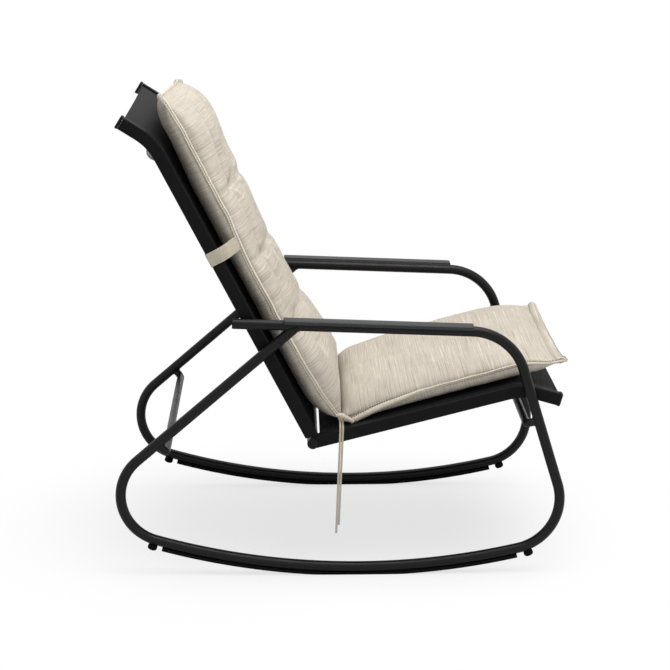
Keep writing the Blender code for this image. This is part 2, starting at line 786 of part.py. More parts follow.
def back_pad_place(u, v, face):
    """Place on the back pad: its seam, or its tufted front or flat rear, with an ear at each upper corner."""
    top = BACK_PAD_END - BACK_SKEW * v - BACK_DIP * (1.0 - v * v)
    s = BACK_PAD_START + (top - BACK_PAD_START) * u
    low, high = s - BACK_PAD_START, top - s
    climb = min(1.0, max(0.0, (u - 0.47) / 0.2))
    head = min(1.0, max(0.0, (u - 0.88) / 0.12)) ** 2
    seam = BACK_SEAM_D + 0.0075 * climb * climb * (3.0 - 2.0 * climb) + 0.0134 * math.exp(-low / 0.07)
    seam -= 0.0085 * head + 0.003 * v * u ** 6
    y = CUSHION_HALF_W * v * (1.0 - 0.012 * (2.0 * u - 1.0) ** 6 - 0.03 * head)
    ear = 1.0 - 0.88 * bell(math.hypot(high, 0.95 * CUSHION_HALF_W - abs(y)), EAR_R)
    side = edge_fall(v, 4.0)
    d = seam
    if face > 0:
        crown = BACK_CROWN + HEAD_SWELL * bell(high - 0.085, 0.07) + LOW_SWELL * bell(low - 0.097, 0.075)
        crown -= tuft_dip(BACK_PAD_END - s, y)
        d = seam + rounded(low, 0.032, 2.4) * rounded(high, 0.085, 1.9) * ear * side ** 0.9 * crown
    if face < 0:
        rest = RAIL_D / 2 + SLING_A + SLING_T / 2 + PAD_REST
        d = seam - rounded(low, 0.07, 2.0) * rounded(high, 0.065, 2.0) * ear * side ** 0.75 * (seam - rest)
    p = back_point(s, d)
    p.x = min(p.x, PAD_JOIN_X - PAD_JOIN_GAP / 2)
    return p + Y_AXIS * y


def seat_pad_place(u, v, face):
    """Place on the seat pad: its seam, or its crowned top or flat underside, with a flat flange in front."""
    first = (PAD_JOIN_X - SEAT_Q.x) / SEAT_U.x + 0.0085
    g = first + (SEAT_PAD_END - first) * u
    low, high = g - first, SEAT_PAD_END - SEAT_FLANGE - g
    droop = min(1.0, max(0.0, (0.048 - high) / 0.05)) ** 2
    seam = SEAT_SEAM_H - 0.0225 * math.exp(-max(0.0, g) / 0.08) - 0.006 * bell(low, 0.016) - 0.011 * droop
    y = CUSHION_HALF_W * v * (1.0 - 0.012 * abs(2.0 * u - 1.0) ** 6)
    ear = 1.0 - 0.85 * bell(math.hypot(max(0.0, high), CUSHION_HALF_W - abs(y)), EAR_R)
    side = edge_fall(v, 4.0)
    lip = 0.0032 * edge_fall(v, 12.0)
    h = seam
    if face > 0:
        crown = SEAT_SEAM_H + SEAT_CROWN - seam
        swell = rounded(low, 0.045, 2.2) * rounded(high, 0.075, 2.1) * ear * side ** 0.9 * crown
        h = seam + (max(lip, swell) if high < 0.03 else swell)
    if face < 0:
        rest = RAIL_D / 2 + SLING_A + SLING_T / 2 + PAD_REST
        swell = rounded(low, 0.03, 2.4) * rounded(high, 0.08, 2.0) * ear * side ** 0.7 * (seam - rest)
        h = seam - (max(lip, swell) if high < 0.03 else swell)
    p = seat_point(g, h)
    p.x = max(p.x, PAD_JOIN_X + PAD_JOIN_GAP / 2)
    return p + Y_AXIS * y


def ribbon(bm, points, across, width, normals, thickness):
    """Flat band through points, with its width along across."""
    rows = []
    for p, n in zip(points, normals):
        rows.append([p - across * width / 2 - n * thickness / 2,
                     p + across * width / 2 - n * thickness / 2,
                     p + across * width / 2 + n * thickness / 2,
                     p - across * width / 2 + n * thickness / 2])
    return skin(bm, rows)


def band_normals(points, across):
    """Normals of a band, halved between neighbouring runs."""
    out = []
    for k, p in enumerate(points):
        before = points[max(0, k - 1)]
        after = points[min(len(points) - 1, k + 1)]
        out.append((after - before).normalized().cross(across))
    return out


def build_strap():
    """Elastic from one side seam of the back pad round both rails to the other."""
    skirt = STRAP_T / 2 + 1.2 * GAP
    out = RAIL_OUT_Y + skirt
    seam = BACK_SEAM_D + 0.003
    half = [(-(CUSHION_HALF_W + 0.0012), seam), (-(out - 0.0002), RAIL_D + 0.0020),
            (-out, RAIL_D - 0.001), (-out, 0.002), (-(out - 0.0001), 0.0001 - skirt),
            (-(out - 0.004), -skirt)]
    route = half + [(-y, d) for y, d in half[::-1]]
    points = [back_point(STRAP_S, d) + Y_AXIS * y for y, d in route]
    bm = ribbon(bmesh.new(), points, BACK_U, STRAP_W, band_normals(points, BACK_U), STRAP_T)
    make("cushion_strap", bm, "webbing")


def build_ties():
    """Two tails of the tie at the right-hand corner, over the rail and straight down."""
    across = vec(1.0, 0.0)
    slope = math.radians(SEAT_PITCH)
    rail_top = SEAT_LOW_Z + math.tan(slope) * (TIE_X + TIE_W) + RAIL_D / math.cos(slope)
    for name, corner, shift, lay, low in (
            ("cushion_tie_long", back_pad_place(0.0, -1.0, 0.0), -0.0022, 0.0022, TIE_LONG_END),
            ("cushion_tie_short", seat_pad_place(0.0, -1.0, 0.0), 0.0022, 0.0, TIE_SHORT_END)):
        out = RAIL_OUT_Y + 0.0025 + lay
        high = rail_top + 0.0022 + lay
        route = [(corner.y - 1.2 * GAP, corner.z), (-(RAIL_IN_Y + 0.004), high),
                 (-(RAIL_OUT_Y + 0.0002), high - 0.0002), (-(out - 0.0004), high - 0.0018),
                 (-out, high - 0.0050), (-out, high - 0.010)]
        drop = high - 0.010 - low
        route += [(-out, high - 0.010 - drop * k / 5) for k in range(1, 6)]
        points = []
        for y, z in route:
            sway = -TIE_SWAY * max(0.0, (high - z) / (high - low))
            points.append(vec(TIE_X + shift + sway, z, y))
        bm = ribbon(bmesh.new(), points, across, TIE_W, band_normals(points, across), TIE_T)
        make(name, bm, "webbing")


def settle(root):
    """Put the origin under the middle of the chair, on the floor."""
    low = Vector((1e9, 1e9, 1e9))
    high = -low
    for item in root.children:
        if item.name.startswith("cut_"):
            continue
        for vertex in item.data.vertices:
            for k in range(3):
                low[k] = min(low[k], vertex.co[k])
                high[k] = max(high[k], vertex.co[k])
    root.location = (-(low.x + high.x) / 2, -(low.y + high.y) / 2, -low.z)


def build():
    clear_scene()
    root = bpy.data.objects.new("chair", None)
    bpy.context.collection.objects.link(root)
    back = back_path()
    seat = seat_path()
    for side_name, side in SIDES:
        build_side_frame(side_name, side)
        build_arm_pad(side_name, side)
        build_rocker_feet(side_name, side)
        build_fasteners(side_name, side)
        build_rail("back_rail_" + side_name, back, side, back_bolt_point(), False)
        build_rail("seat_rail_" + side_name, seat, side, seat_bolt_point(), True)
        build_cap("back_rail_cap_" + side_name, back[-1], (back[-1][0] - back[-2][0]).normalized(), side)
        build_cap("seat_rail_cap_" + side_name, seat[-1], (seat[-1][0] - seat[-2][0]).normalized(), side)
    rear_leg = line_meet(REAR_N, REAR_OFF, vec(0.0, 1.0), REAR_BAR_Z)
    build_crossbar("rear_crossbar", rear_leg, -REAR_N)
    front_leg = line_meet(FRONT_N, FRONT_OFF, vec(0.0, 1.0), FRONT_BAR_Z)
    build_crossbar("front_crossbar", front_leg, -FRONT_N)
    build_cross_tube()
    build_spreader()
    build_sling("back_sling", trim_path(back, 0.006, 0.0015), BACK_HEM_DIP)
    build_sling("seat_sling", trim_path(seat, 0.012, 0.0015), 0.0)
    cushion("back_cushion", 44, 22, back_pad_place)
    cushion("seat_cushion", 20, 16, seat_pad_place)
    build_strap()
    build_ties()
    settle(root)


build()
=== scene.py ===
import math
from types import SimpleNamespace

import bpy
import numpy as np
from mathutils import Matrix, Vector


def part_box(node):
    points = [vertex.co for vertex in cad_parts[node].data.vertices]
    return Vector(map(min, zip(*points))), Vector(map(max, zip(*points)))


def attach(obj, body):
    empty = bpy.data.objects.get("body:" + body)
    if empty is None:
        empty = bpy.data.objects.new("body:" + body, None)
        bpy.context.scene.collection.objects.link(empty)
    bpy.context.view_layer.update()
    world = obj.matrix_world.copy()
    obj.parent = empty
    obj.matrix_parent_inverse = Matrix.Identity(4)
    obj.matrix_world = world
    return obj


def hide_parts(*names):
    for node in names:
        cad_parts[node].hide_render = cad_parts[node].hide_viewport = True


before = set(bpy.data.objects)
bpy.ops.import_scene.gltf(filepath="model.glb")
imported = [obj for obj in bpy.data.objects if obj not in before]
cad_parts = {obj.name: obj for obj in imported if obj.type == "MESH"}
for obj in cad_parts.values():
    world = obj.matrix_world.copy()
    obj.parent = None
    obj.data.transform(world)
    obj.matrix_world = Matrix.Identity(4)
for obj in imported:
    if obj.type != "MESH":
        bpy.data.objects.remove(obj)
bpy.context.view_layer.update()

bl_info = {
    "name": "Outdoor Rocking Chair",
    "version": (1, 0, 0),
    "blender": (4, 5, 0),
    "location": "View3D > Sidebar > Chair",
    "description": "Surfaces and finishes of a tube-framed rocking chair with a tufted cushion",
    "category": "Add Mesh",
}

SIDES = (("right", -1.0), ("left", 1.0))
X_AXIS = np.array([1.0, 0.0, 0.0])
Y_AXIS = np.array([0.0, 1.0, 0.0])
WHITE = (1.0, 1.0, 1.0, 1.0)

# Camera fitted to the photograph, in millimetres, metres and degrees
LENS, SENSOR = 108.27, 36.0
EYE = (-0.1017, -4.1325, 1.4595)
EYE_DOWN, EYE_TURN = 14.043, -1.335
# Lamps: name, place, point they face, width, watts
LAMPS = (("key", (0.6, -0.8, 3.1), (0.0, 0.0, 0.35), 2.0, 52.0),
         ("front", (2.6, -1.0, 1.9), (0.0, 0.0, 0.45), 1.6, 4.0),
         ("top", (0.2, 0.3, 3.2), (0.0, 0.0, 0.3), 2.4, 32.0))
# Floor: half its width, where its shade fades from and to, and the share of white at the start
FLOOR_REACH = 6.0
FADE_NEAR, FADE_FAR, FADE_LEAST = 0.28, 0.86, 0.68
# Strength of the surround as a light
SURROUND = 0.53

# Back rails stop above the seat rails; seat rails start a share of the cross tube in front of its axis
RAIL_CLEAR = 0.0003
RAIL_INSET = 0.25
# Small room or lap between pieces that touch
TOUCH = 0.0002
# Seat pad's rear end in front of the fold's line
SEAT_START = 0.0085
# Tie's seam: y, depth on the back pad, and height as a share of the seat seam's
TIE_SEAM_Y, TIE_SEAM_D, TIE_SEAM_H = -0.2440, 0.075, 0.58
# Tie's tails: spread, lift of the one on top, height over the rail's edge and distance outside it
TIE_SPREAD, TIE_LAP, TIE_LIE, TIE_OUT = 0.0026, 0.0012, 0.0022, 0.0025
# Knot: its bent axis, its radius, and the turns and depth of its winding
KNOT_AXIS = ((-0.0447, -0.2520, 0.3254), (-0.0347, -0.2530, 0.3263), (-0.0227, -0.2530, 0.3200),
             (-0.0106, -0.2510, 0.3102))
KNOT_RADIUS, KNOT_TURNS, KNOT_BUMP = 0.0046, 7.0, 0.13
# Strap: where it is sewn on, its play on the rail, and how far before a corner it starts to bend
STRAP_SEAM_Y, STRAP_PLAY, STRAP_EASE = -0.2430, 0.00036, 0.009
# Filling of the pads: frames, the most that a point moves, and the cloth's values
FILL_FRAMES = 20
FILL_MOST = 0.003
CLOTH = {"quality": 5, "mass": 0.2, "tension_stiffness": 60.0, "compression_stiffness": 40.0,
         "shear_stiffness": 10.0, "bending_stiffness": 0.25, "use_pressure": True,
         "uniform_pressure_force": 3.0, "vertex_group_mass": "sewn"}
# Waves of the drift: radians to the metre along and across, and share
DRIFT = ((41.0, 13.0, 1.0), (-29.0, 37.0, 1.0), (67.0, -51.0, 1.0), (103.0, 83.0, 0.7),
         (131.0, -17.0, 0.7), (19.0, 127.0, 0.6))
# Tufts: creases along columns and rows (depth, half width), fall of the rows, and the sewn spot's radius
COLUMN_CREASE, ROW_CREASE = (0.0215, 0.019), (0.0105, 0.012)
TUFT_ROWS, TUFT_FALL, TUFT_SPOT = 3, 0.07, 0.0055
# Folds that fan out of a tuft: height, distance and spread
FOLD_HIGH, FOLD_FAR, FOLD_SPREAD = 0.0030, 0.028, 0.020
# Ears: name, which way the skew moves them, place below the end, depth, y, and half sizes
EARS = (("left", -1.0, 0.006, 0.0590, 0.232, (0.0105, 0.0095, 0.0080)),
        ("right", 1.0, 0.008, 0.0630, -0.235, (0.0060, 0.0125, 0.0060)))
# Seat's front: how far it droops, where that starts, and over what length
DROOP, DROOP_START, DROOP_SPAN = 0.0150, 0.335, 0.10
# Welt: its lap on the seam, and the depth of its groove
WELT_LAP, WELT_GROOVE = 0.0022, 0.0026
# Rows of stitches on a welt: share of its width, and height as a share of its thickness
SEAM_ROWS = ((0.66, 0.0), (0.30, 0.49))


def length(label, text, value):
    return bpy.props.FloatProperty(name=label, description=text, default=value, unit="LENGTH", precision=4)


def angle(label, text, degrees):
    return bpy.props.FloatProperty(name=label, description=text, default=math.radians(degrees),
                                   unit="ROTATION")


def colour(label, text, value):
    return bpy.props.FloatVectorProperty(name=label, description=text, default=value, subtype="COLOR",
                                         size=3, min=0.0, max=1.0)


class ChairFrameSizes(bpy.types.PropertyGroup):
    spacing: length("Spacing", "Between the axes of the two side frames", 0.580)
    tube: length("Tube", "Outside diameter of the side frame tube", 0.020)
    coat: length("Coat", "Thickness of the powder coat on the side frames", 0.0004)
    arm_height: length("Arm height", "Arm axis above the floor, over the rocker's low point", 0.5156)
    arm_slope: angle("Arm slope", "Fall of the arm towards the front", 2.23)
    arm_tail: length("Arm tail", "Arm tube behind the back rail's bolt", 0.0288)
    front_foot: length("Front foot", "Where the front leg's axis would meet the floor", 0.4577)
    front_lean: angle("Front lean", "Backward lean of the front leg", 17.16)
    rear_foot: length("Rear foot", "Where the rear leg's axis would meet the floor", -0.7273)
    rear_lean: angle("Rear lean", "Forward lean of the rear leg", 49.32)
    rocker: length("Rocker radius", "Radius of the rocker's axis", 1.432)
    arm_bend: length("Arm bend", "Bend between arm and front leg", 0.1126)
    front_bend: length("Front bend", "Bend between front leg and rocker", 0.1059)
    rear_bend: length("Rear bend", "Bend between rocker and rear leg", 0.0967)
    weld: length("Weld bead", "Radius of the weld bead round a joint", 0.0014)
    pad_rear: length("Pad rear", "Rear end of the arm pad", -0.1497)
    pad_front: length("Pad front", "Front end of the arm pad", 0.2239)
    pad_out: length("Pad overhang", "Reach of the arm pad outside the tube's axis", 0.0289)
    pad_in: length("Pad lap", "Reach of the arm pad inside the tube's axis", 0.0048)
    pad_thick: length("Pad thickness", "Thickness of the arm pad's plank", 0.0076)
    pad_rise: length("Pad rise", "Arm pad above the top of the tube", 0.0052)
    pad_corner: length("Pad corner", "Corner radius of the arm pad in plan", 0.0075)
    strip_wide: length("Strip width", "Width of the wear strip", 0.014)
    strip_thick: length("Strip thickness", "Thickness of the wear strip", 0.008)
    strip_off: length("Strip standoff", "Wear strip below the tube", 0.0005)
    strip_flat: length("Strip flat", "Worn flat under the rocker", 0.190)
    strip_rear: angle("Strip rear inset", "Strip's end before the rear bend", 0.65)
    strip_front: angle("Strip front inset", "Strip's end before the front bend", 0.2)
    stop_radius: length("Stop radius", "Radius of the round stops", 0.0095)
    stop_high: length("Stop height", "Height of the round stops", 0.0110)
    stop_rear: angle("Rear stop", "Rear stop past the rocker's end", 1.75)
    stop_front: angle("Front stop", "Front stop past the rocker's end", 8.9)
    bar: length("Crossbar", "Outside diameter of the crossbars", 0.016)
    bar_off: length("Crossbar offset", "Crossbar axis behind the leg's axis", 0.025)
    bar_bend: length("Crossbar bend", "Bend radius of the crossbar's axis", 0.012)
    bar_rear: length("Rear crossbar height", "Height of the rear crossbar's stubs", 0.2806)
    bar_front: length("Front crossbar height", "Height of the front crossbar's stubs", 0.3237)


class ChairRailSizes(bpy.types.PropertyGroup):
    deep: length("Rail depth", "Depth of the seat and back rails", 0.025)
    wide: length("Rail width", "Width of the seat and back rails", 0.020)
    side_gap: length("Rail gap", "Between rail and side frame", 0.0015)
    corner: length("Rail corner", "Rounding of the rail's corners", 0.0026)
    groove_in: length("Groove place", "Groove behind the rail's front face", 0.0045)
    groove_bore: length("Groove bore", "Radius of the groove's round bottom", 0.0032)
    groove_deep: length("Groove depth", "Bore behind the rail's inner face", 0.0048)
    groove_mouth: length("Groove mouth", "Opening of the groove", 0.0026)
    back_lean: angle("Back lean", "Backward lean of the back", 27.28)
    back_rear: length("Back foot", "Where the back's rear edge would meet the floor", 0.0401)
    head_start: length("Head start", "Start of the head bend up the back", 0.9526)
    head_bend: angle("Head bend", "Backward turn of the head end", 30.5)
    head_radius: length("Head radius", "Radius of the head bend", 0.1175)
    head_end: length("Head end", "Straight end past the head bend", 0.0385)
    seat_pitch: angle("Seat pitch", "Rise of the seat towards the front", 14.33)
    seat_low: length("Seat height", "Seat rail's lower edge over the rocker's low point", 0.2863)
    nose_start: length("Nose start", "Start of the nose bend along the seat", 0.311)
    nose_bend: angle("Nose bend", "Downward turn of the seat's nose", 30.2)
    nose_radius: length("Nose radius", "Radius of the nose bend", 0.110)
    nose_end: length("Nose end", "Straight end past the nose bend", 0.044)
    cap: length("Cap", "Thickness of the rail's end cap", 0.0065)
    cap_lip: length("Cap lip", "Cap outside the rail's faces", 0.001)
    cross_x: length("Cross tube place", "Cross tube behind the rocker's low point", -0.0924)
    cross: length("Cross tube", "Outside diameter of the cross tube", 0.022)
    spreader_at: length("Spreader place", "Spreader's distance up the back", 0.950)
    spreader: length("Spreader", "Outside diameter of the spreader", 0.015)
    spreader_bow: length("Spreader bow", "Backward bow of the spreader", 0.038)
    sling: length("Sling", "Thickness of the sling cloth", 0.0012)
    hem: length("Hem", "Radius of the sling's round side hem", 0.0028)
    hem_dip: length("Hem dip", "Hollow of the back sling's top edge", 0.001)
    bolt: length("Bolt", "Shank radius of the frame bolts", 0.003)
    bolt_head: length("Bolt head", "Head radius of the frame bolts", 0.005)
    bolt_back: length("Bolt backset", "Bolts behind the middle of the rails", 0.003)


class ChairCushionSizes(bpy.types.PropertyGroup):
    half: length("Half width", "Half the cushion's width where its sides stand furthest out", 0.2430)
    welt: length("Welt", "Reach of the sewn welt outside the seam", 0.0084)
    welt_thick: length("Welt thickness", "Thickness of the sewn welt, two cords side by side", 0.0086)
    seat_welt: length("Seat welt", "Thickness of the seat's welt near the fold", 0.0118)
    flange: length("Front flange", "Width of the sewn flange along the seat's front", 0.0190)
    lip: length("Flange lip", "Half the thickness of the sewn flange", 0.0050)
    join: length("Fold", "Place of the fold between seat and back pad", -0.0336)
    join_gap: length("Fold gap", "Room in the fold", 0.002)
    back_start: length("Back pad start", "Lower end of the back pad", 0.318)
    back_end: length("Back pad end", "Upper end of the back pad", 1.040)
    back_skew: length("Back pad skew", "Right upper corner above the left one, halved", 0.014)
    back_dip: length("Back pad hollow", "Hollow of the upper edge between its corners", 0.002)
    back_seam: length("Back seam", "Side seam in front of the rails' rear edge", 0.0620)
    back_crown: length("Back crown", "Swell of the back pad in front of its seam", 0.0275)
    head_swell: length("Head swell", "More swell in the pillow at the head", 0.0140)
    low_swell: length("Lower swell", "More swell in the pillow above the seat", 0.0140)
    seat_end: length("Seat pad end", "Front end of the seat pad", 0.4375)
    seat_seam: length("Seat seam", "Side seam above the rails' lower edge", 0.0565)
    seat_top: length("Seat top", "Top of the seat pad above the rails' lower edge", 0.0760)
    rest: length("Rest", "Room between pad and sling", 0.0004)
    tuft_first: length("First tufts", "Top row of tufts up the back", 0.8105)
    tuft_pitch: length("Tuft pitch", "Between rows of tufts", 0.1485)
    tuft_half: length("Tuft columns", "Columns of tufts beside the middle", 0.115)
    tuft_deep: length("Tuft depth", "Depth of the sewn tufts", 0.0135)
    strap_at: length("Strap place", "Strap's distance up the back", 0.730)
    strap_wide: length("Strap width", "Width of the elastic strap", 0.028)
    strap_thick: length("Strap thickness", "Thickness of the elastic strap", 0.0012)
    tie_wide: length("Tie width", "Width of the tie's tails", 0.0042)
    tie_thick: length("Tie thickness", "Thickness of the tie's tails", 0.0022)
    tie_x: length("Tie place", "Place of the tie along the seat", -0.0345)
    tie_sway: length("Tie sway", "Backward drift of the tails", 0.0085)
    tie_long: length("Long tail", "Height of the long tail's end", 0.087)
    tie_short: length("Short tail", "Height of the short tail's end", 0.104)
    stitch: length("Stitch", "Length of one stitch with its gap", 0.0052)


class ChairFinishes(bpy.types.PropertyGroup):
    coat_dark: colour("Coat, dark", "Darker fleck of the frame's powder coat", (0.0022, 0.0022, 0.0024))
    coat_light: colour("Coat, light", "Lighter fleck of the frame's powder coat", (0.0056, 0.0056, 0.0060))
    pad_dark: colour("Arm pad, dark", "Darker grain of the arm pads", (0.018, 0.0184, 0.0191))
    pad_light: colour("Arm pad, light", "Lighter grain of the arm pads", (0.033, 0.0338, 0.0349))
    plastic_dark: colour("Plastic, dark", "Darker grain of caps and plugs", (0.005, 0.005, 0.005))
    plastic_light: colour("Plastic, light", "Lighter grain of caps and plugs", (0.012, 0.012, 0.012))
    rubber_dark: colour("Rubber, dark", "Darker fleck of strips and stops", (0.0012, 0.0012, 0.0012))
    rubber_light: colour("Rubber, light", "Lighter fleck of strips and stops", (0.0030, 0.0030, 0.0030))
    sling_dark: colour("Sling, dark", "Gaps in the sling's weave", (0.004, 0.004, 0.004))
    sling_light: colour("Sling, light", "Strands of the sling's weave", (0.024, 0.024, 0.025))
    cloth_dark: colour("Cloth, dark", "Darker threads of the cushion cloth", (0.375, 0.331, 0.267))
    cloth_light: colour("Cloth, light", "Lighter threads of the cushion cloth", (0.725, 0.663, 0.572))
    tape_dark: colour("Tape, dark", "Darker ribs of strap and ties", (0.40, 0.36, 0.28))
    tape_light: colour("Tape, light", "Lighter ribs of strap and ties", (0.58, 0.53, 0.42))
    # Welt colours: the cushion cloth made paler, a painted highlight for the light the welt catches
    piping_dark: colour("Piping, dark", "Darker threads of the welt", (0.60, 0.54, 0.43))
    piping_light: colour("Piping, light", "Lighter threads of the welt", (0.90, 0.83, 0.71))
    thread_dark: colour("Thread, dark", "Darker twist of the sewing thread", (0.095, 0.075, 0.050))
    thread_light: colour("Thread, light", "Lighter twist of the sewing thread", (0.19, 0.155, 0.110))
    steel_dark: colour("Steel, dark", "Darker streaks of the bolts", (0.32, 0.32, 0.33))
    steel_light: colour("Steel, light", "Lighter streaks of the bolts", (0.52, 0.52, 0.53))
    rod_dark: colour("Rod, dark", "Darker fleck of the spline rods", (0.24, 0.24, 0.24))
    rod_light: colour("Rod, light", "Lighter fleck of the spline rods", (0.34, 0.34, 0.34))
    floor: colour("Floor", "Studio floor", (0.87, 0.87, 0.87))


# Shapes in the side plane, as (x, z) arrays

def unit(v):
    """Vectors at length one."""
    return v / np.linalg.norm(v, axis=-1, keepdims=True)


def heading(turn):
    """Unit vectors (x, z) at angles from straight ahead upwards."""
    return np.stack([np.cos(turn), np.sin(turn)], axis=-1)


def polar(v):
    return math.atan2(v[1], v[0])


def meet(n1, d1, n2, d2):
    """Point on both lines n.p = d."""
    return np.linalg.solve(np.array([n1, n2]), np.array([d1, d2]))


def bend(centre, radius, start, end, step=0.03):
    """Points and outward normals of an arc, at most step radians apart."""
    count = max(2, math.ceil(abs(end - start) / step) + 1)
    normal = heading(np.linspace(start, end, count))
    return centre + radius * normal, normal


def run(start, end, normal, step=0.02):
    """Points and normals of a straight run, at most step apart."""
    count = max(2, math.ceil(np.linalg.norm(end - start) / step) + 1)
    share = np.linspace(0.0, 1.0, count)[:, None]
    return start + (end - start) * share, np.repeat(normal[None], count, axis=0)


def joined(*parts):
    """One path from parts that end where the next begins."""
    points = np.concatenate([parts[0][0]] + [p[0][1:] for p in parts[1:]])
    normals = np.concatenate([parts[0][1]] + [p[1][1:] for p in parts[1:]])
    return points, normals


def fillet(centre, radius, normal, offset, bend_radius, side):
    """Centre of a bend inside a circle that also touches the line n.p = offset."""
    reach = offset - bend_radius - normal @ centre
    along = math.sqrt((radius - bend_radius) ** 2 - reach ** 2)
    return centre + normal * reach + np.array([-normal[1], normal[0]]) * (side * along)


def chair_lines(scene):
    """Axis lines, bend centres and local axes that all pieces are placed by."""
    f, r, c = scene.chair_frame, scene.chair_rails, scene.chair_cushion
    k = SimpleNamespace(f=f, r=r, c=c)
    k.tube = f.tube / 2
    k.frame_y = f.spacing / 2
    k.rail_out = k.frame_y - k.tube - r.side_gap
    k.rail_in = k.rail_out - r.wide
    k.arm_n = heading(math.pi / 2 - f.arm_slope)
    k.arm_t = np.array([k.arm_n[1], -k.arm_n[0]])
    k.arm_off = k.arm_n[1] * f.arm_height
    k.front_n = heading(f.front_lean)
    k.front_off = k.front_n[0] * f.front_foot
    k.rear_n = heading(math.pi - f.rear_lean)
    k.rear_t = np.array([k.rear_n[1], -k.rear_n[0]])
    k.rear_off = k.rear_n[0] * f.rear_foot
    k.rocker_c = np.array([0.0, f.strip_thick + f.strip_off + k.tube + f.rocker])
    k.arm_c = meet(k.arm_n, k.arm_off - f.arm_bend, k.front_n, k.front_off - f.arm_bend)
    k.front_c = fillet(k.rocker_c, f.rocker, k.front_n, k.front_off, f.front_bend, -1.0)
    k.rear_c = fillet(k.rocker_c, f.rocker, k.rear_n, k.rear_off, f.rear_bend, 1.0)
    k.front_end = polar(k.front_c - k.rocker_c)
    k.rear_end = polar(k.rear_c - k.rocker_c)
    k.back_u = heading(math.pi / 2 + r.back_lean)
    k.back_n = np.array([k.back_u[1], -k.back_u[0]])
    k.back_q = np.array([r.back_rear, 0.0])
    k.seat_u = heading(r.seat_pitch)
    k.seat_n = np.array([-k.seat_u[1], k.seat_u[0]])
    k.seat_q = np.array([0.0, r.seat_low])
    rise = r.seat_low + math.tan(r.seat_pitch) * r.cross_x
    k.cross = np.array([r.cross_x, rise + r.cross / 2 / math.cos(r.seat_pitch)])
    k.seat_first = c.join / k.seat_u[0] + SEAT_START
    k.sling_a = r.deep / 2 - r.groove_in
    k.rest = r.deep / 2 + k.sling_a + r.sling / 2 + c.rest
    middle = r.deep / 2 - r.bolt_back
    k.back_bolt = meet(k.arm_n, k.arm_off, k.back_n, k.back_n @ (k.back_q + k.back_n * middle))
    k.arm_end = arm_point(k, k.back_bolt[0] - f.arm_tail)
    k.back_path = rail_line(k, True)
    k.seat_path = rail_line(k, False)
    points, normals = k.seat_path
    low = points - normals * r.bolt_back
    ahead = low @ k.front_n - k.front_off
    k.seat_bolt = np.array([np.interp(0.0, ahead, low[:, 0]), np.interp(0.0, ahead, low[:, 1])])
    low, high = (np.array(p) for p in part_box("seat_back_cross_tube"))
    k.shift = (low + high) / 2 - np.array([k.cross[0], 0.0, k.cross[1]])
    return k


def arm_point(k, x):
    return np.array([x, (k.arm_off - k.arm_n[0] * x) / k.arm_n[1]])


def on_back(k, s, d):
    """Points s up the back from the floor line and d in front of the rails' rear edge."""
    return k.back_q + np.multiply.outer(s, k.back_u) + np.multiply.outer(d, k.back_n)


def on_seat(k, g, h):
    """Points g forward along the seat and h above the rails' lower edge."""
    return k.seat_q + np.multiply.outer(g, k.seat_u) + np.multiply.outer(h, k.seat_n)


def seat_meets_back(k, d):
    """Distance up the back at which depth d reaches the seat rail's top edge."""
    start = on_back(k, np.zeros_like(d), d) - k.seat_q
    return (k.r.deep + RAIL_CLEAR - start @ k.seat_n) / (k.seat_n @ k.back_u)


def rail_line(k, back):
    """Centre line of a rail: a straight run, one bend and a straight end."""
    r = k.r
    half = r.deep / 2
    if back:
        sign, normal = 1.0, k.back_n
        first = float(seat_meets_back(k, np.array(half)))
        start, end = on_back(k, first, half), on_back(k, r.head_start, half)
        turn, radius, tail = r.head_bend, r.head_radius, r.head_end
    else:
        sign, normal = -1.0, k.seat_n
        first = (k.cross - k.seat_q) @ k.seat_u + r.cross * RAIL_INSET
        start, end = on_seat(k, first, half), on_seat(k, r.nose_start, half)
        turn, radius, tail = r.nose_bend, r.nose_radius, r.nose_end
    middle = bend(end - normal * radius, radius, polar(normal), polar(normal) + sign * turn)
    out = middle[1][-1]
    ahead = np.array([-out[1], out[0]]) * sign
    last = middle[0][-1]
    return joined(run(start, end, normal), middle, run(last, last + ahead * tail, out))


# Grids of points and the meshes over them

def ramp(t, start, span):
    """Rise from 0 at start to 1 a span further on, or a fall if the span is negative, held beyond both."""
    return np.clip((t - start) / span, 0.0, 1.0)


def pairs(a, b):
    """Points (a, b) from two arrays."""
    return np.stack(np.broadcast_arrays(a, b), axis=-1)


def xyz(flat, y):
    """Points from their places (x, z) in the side plane and y across it."""
    return np.stack(np.broadcast_arrays(flat[..., 0], y, flat[..., 1]), axis=-1)


def circle(radius, count, phase=0.0):
    """Points (a, b) round a circle."""
    turn = phase + np.linspace(0.0, math.tau, count, endpoint=False)
    return radius * np.stack([np.cos(turn), np.sin(turn)], axis=-1)


def rolled(at, reach, rise, roll, count):
    """Rows (distance, radius) of a rounded edge: a quarter of an ellipse from its side to its top."""
    turn = np.linspace(0.0, math.pi / 2, count)
    return pairs(at + rise * np.sin(turn), reach + roll * np.cos(turn))


def curves(before, corner, after, steps):
    """Quadratic curves from before to after, drawn towards each corner."""
    w = np.linspace(0.0, 1.0, steps)[None, :, None]
    rows = (1 - w) ** 2 * before[:, None] + 2 * w * (1 - w) * corner[:, None] + w * w * after[:, None]
    return rows.reshape(-1, corner.shape[1])


def eased(corners, reach, steps=5):
    """Closed outline whose corners become quadratic curves that start reach before them."""
    p = np.asarray(corners, float)
    reach = np.broadcast_to(reach, len(p))[:, None]
    before = p + unit(np.roll(p, 1, axis=0) - p) * reach
    after = p + unit(np.roll(p, -1, axis=0) - p) * reach
    return curves(before, p, after, steps)


def box_outline(a, b, ease, steps):
    """Rounded rectangle from -a to a and from -b to b."""
    return eased([(-a, -b), (-a, b), (a, b), (a, -b)], ease, steps)


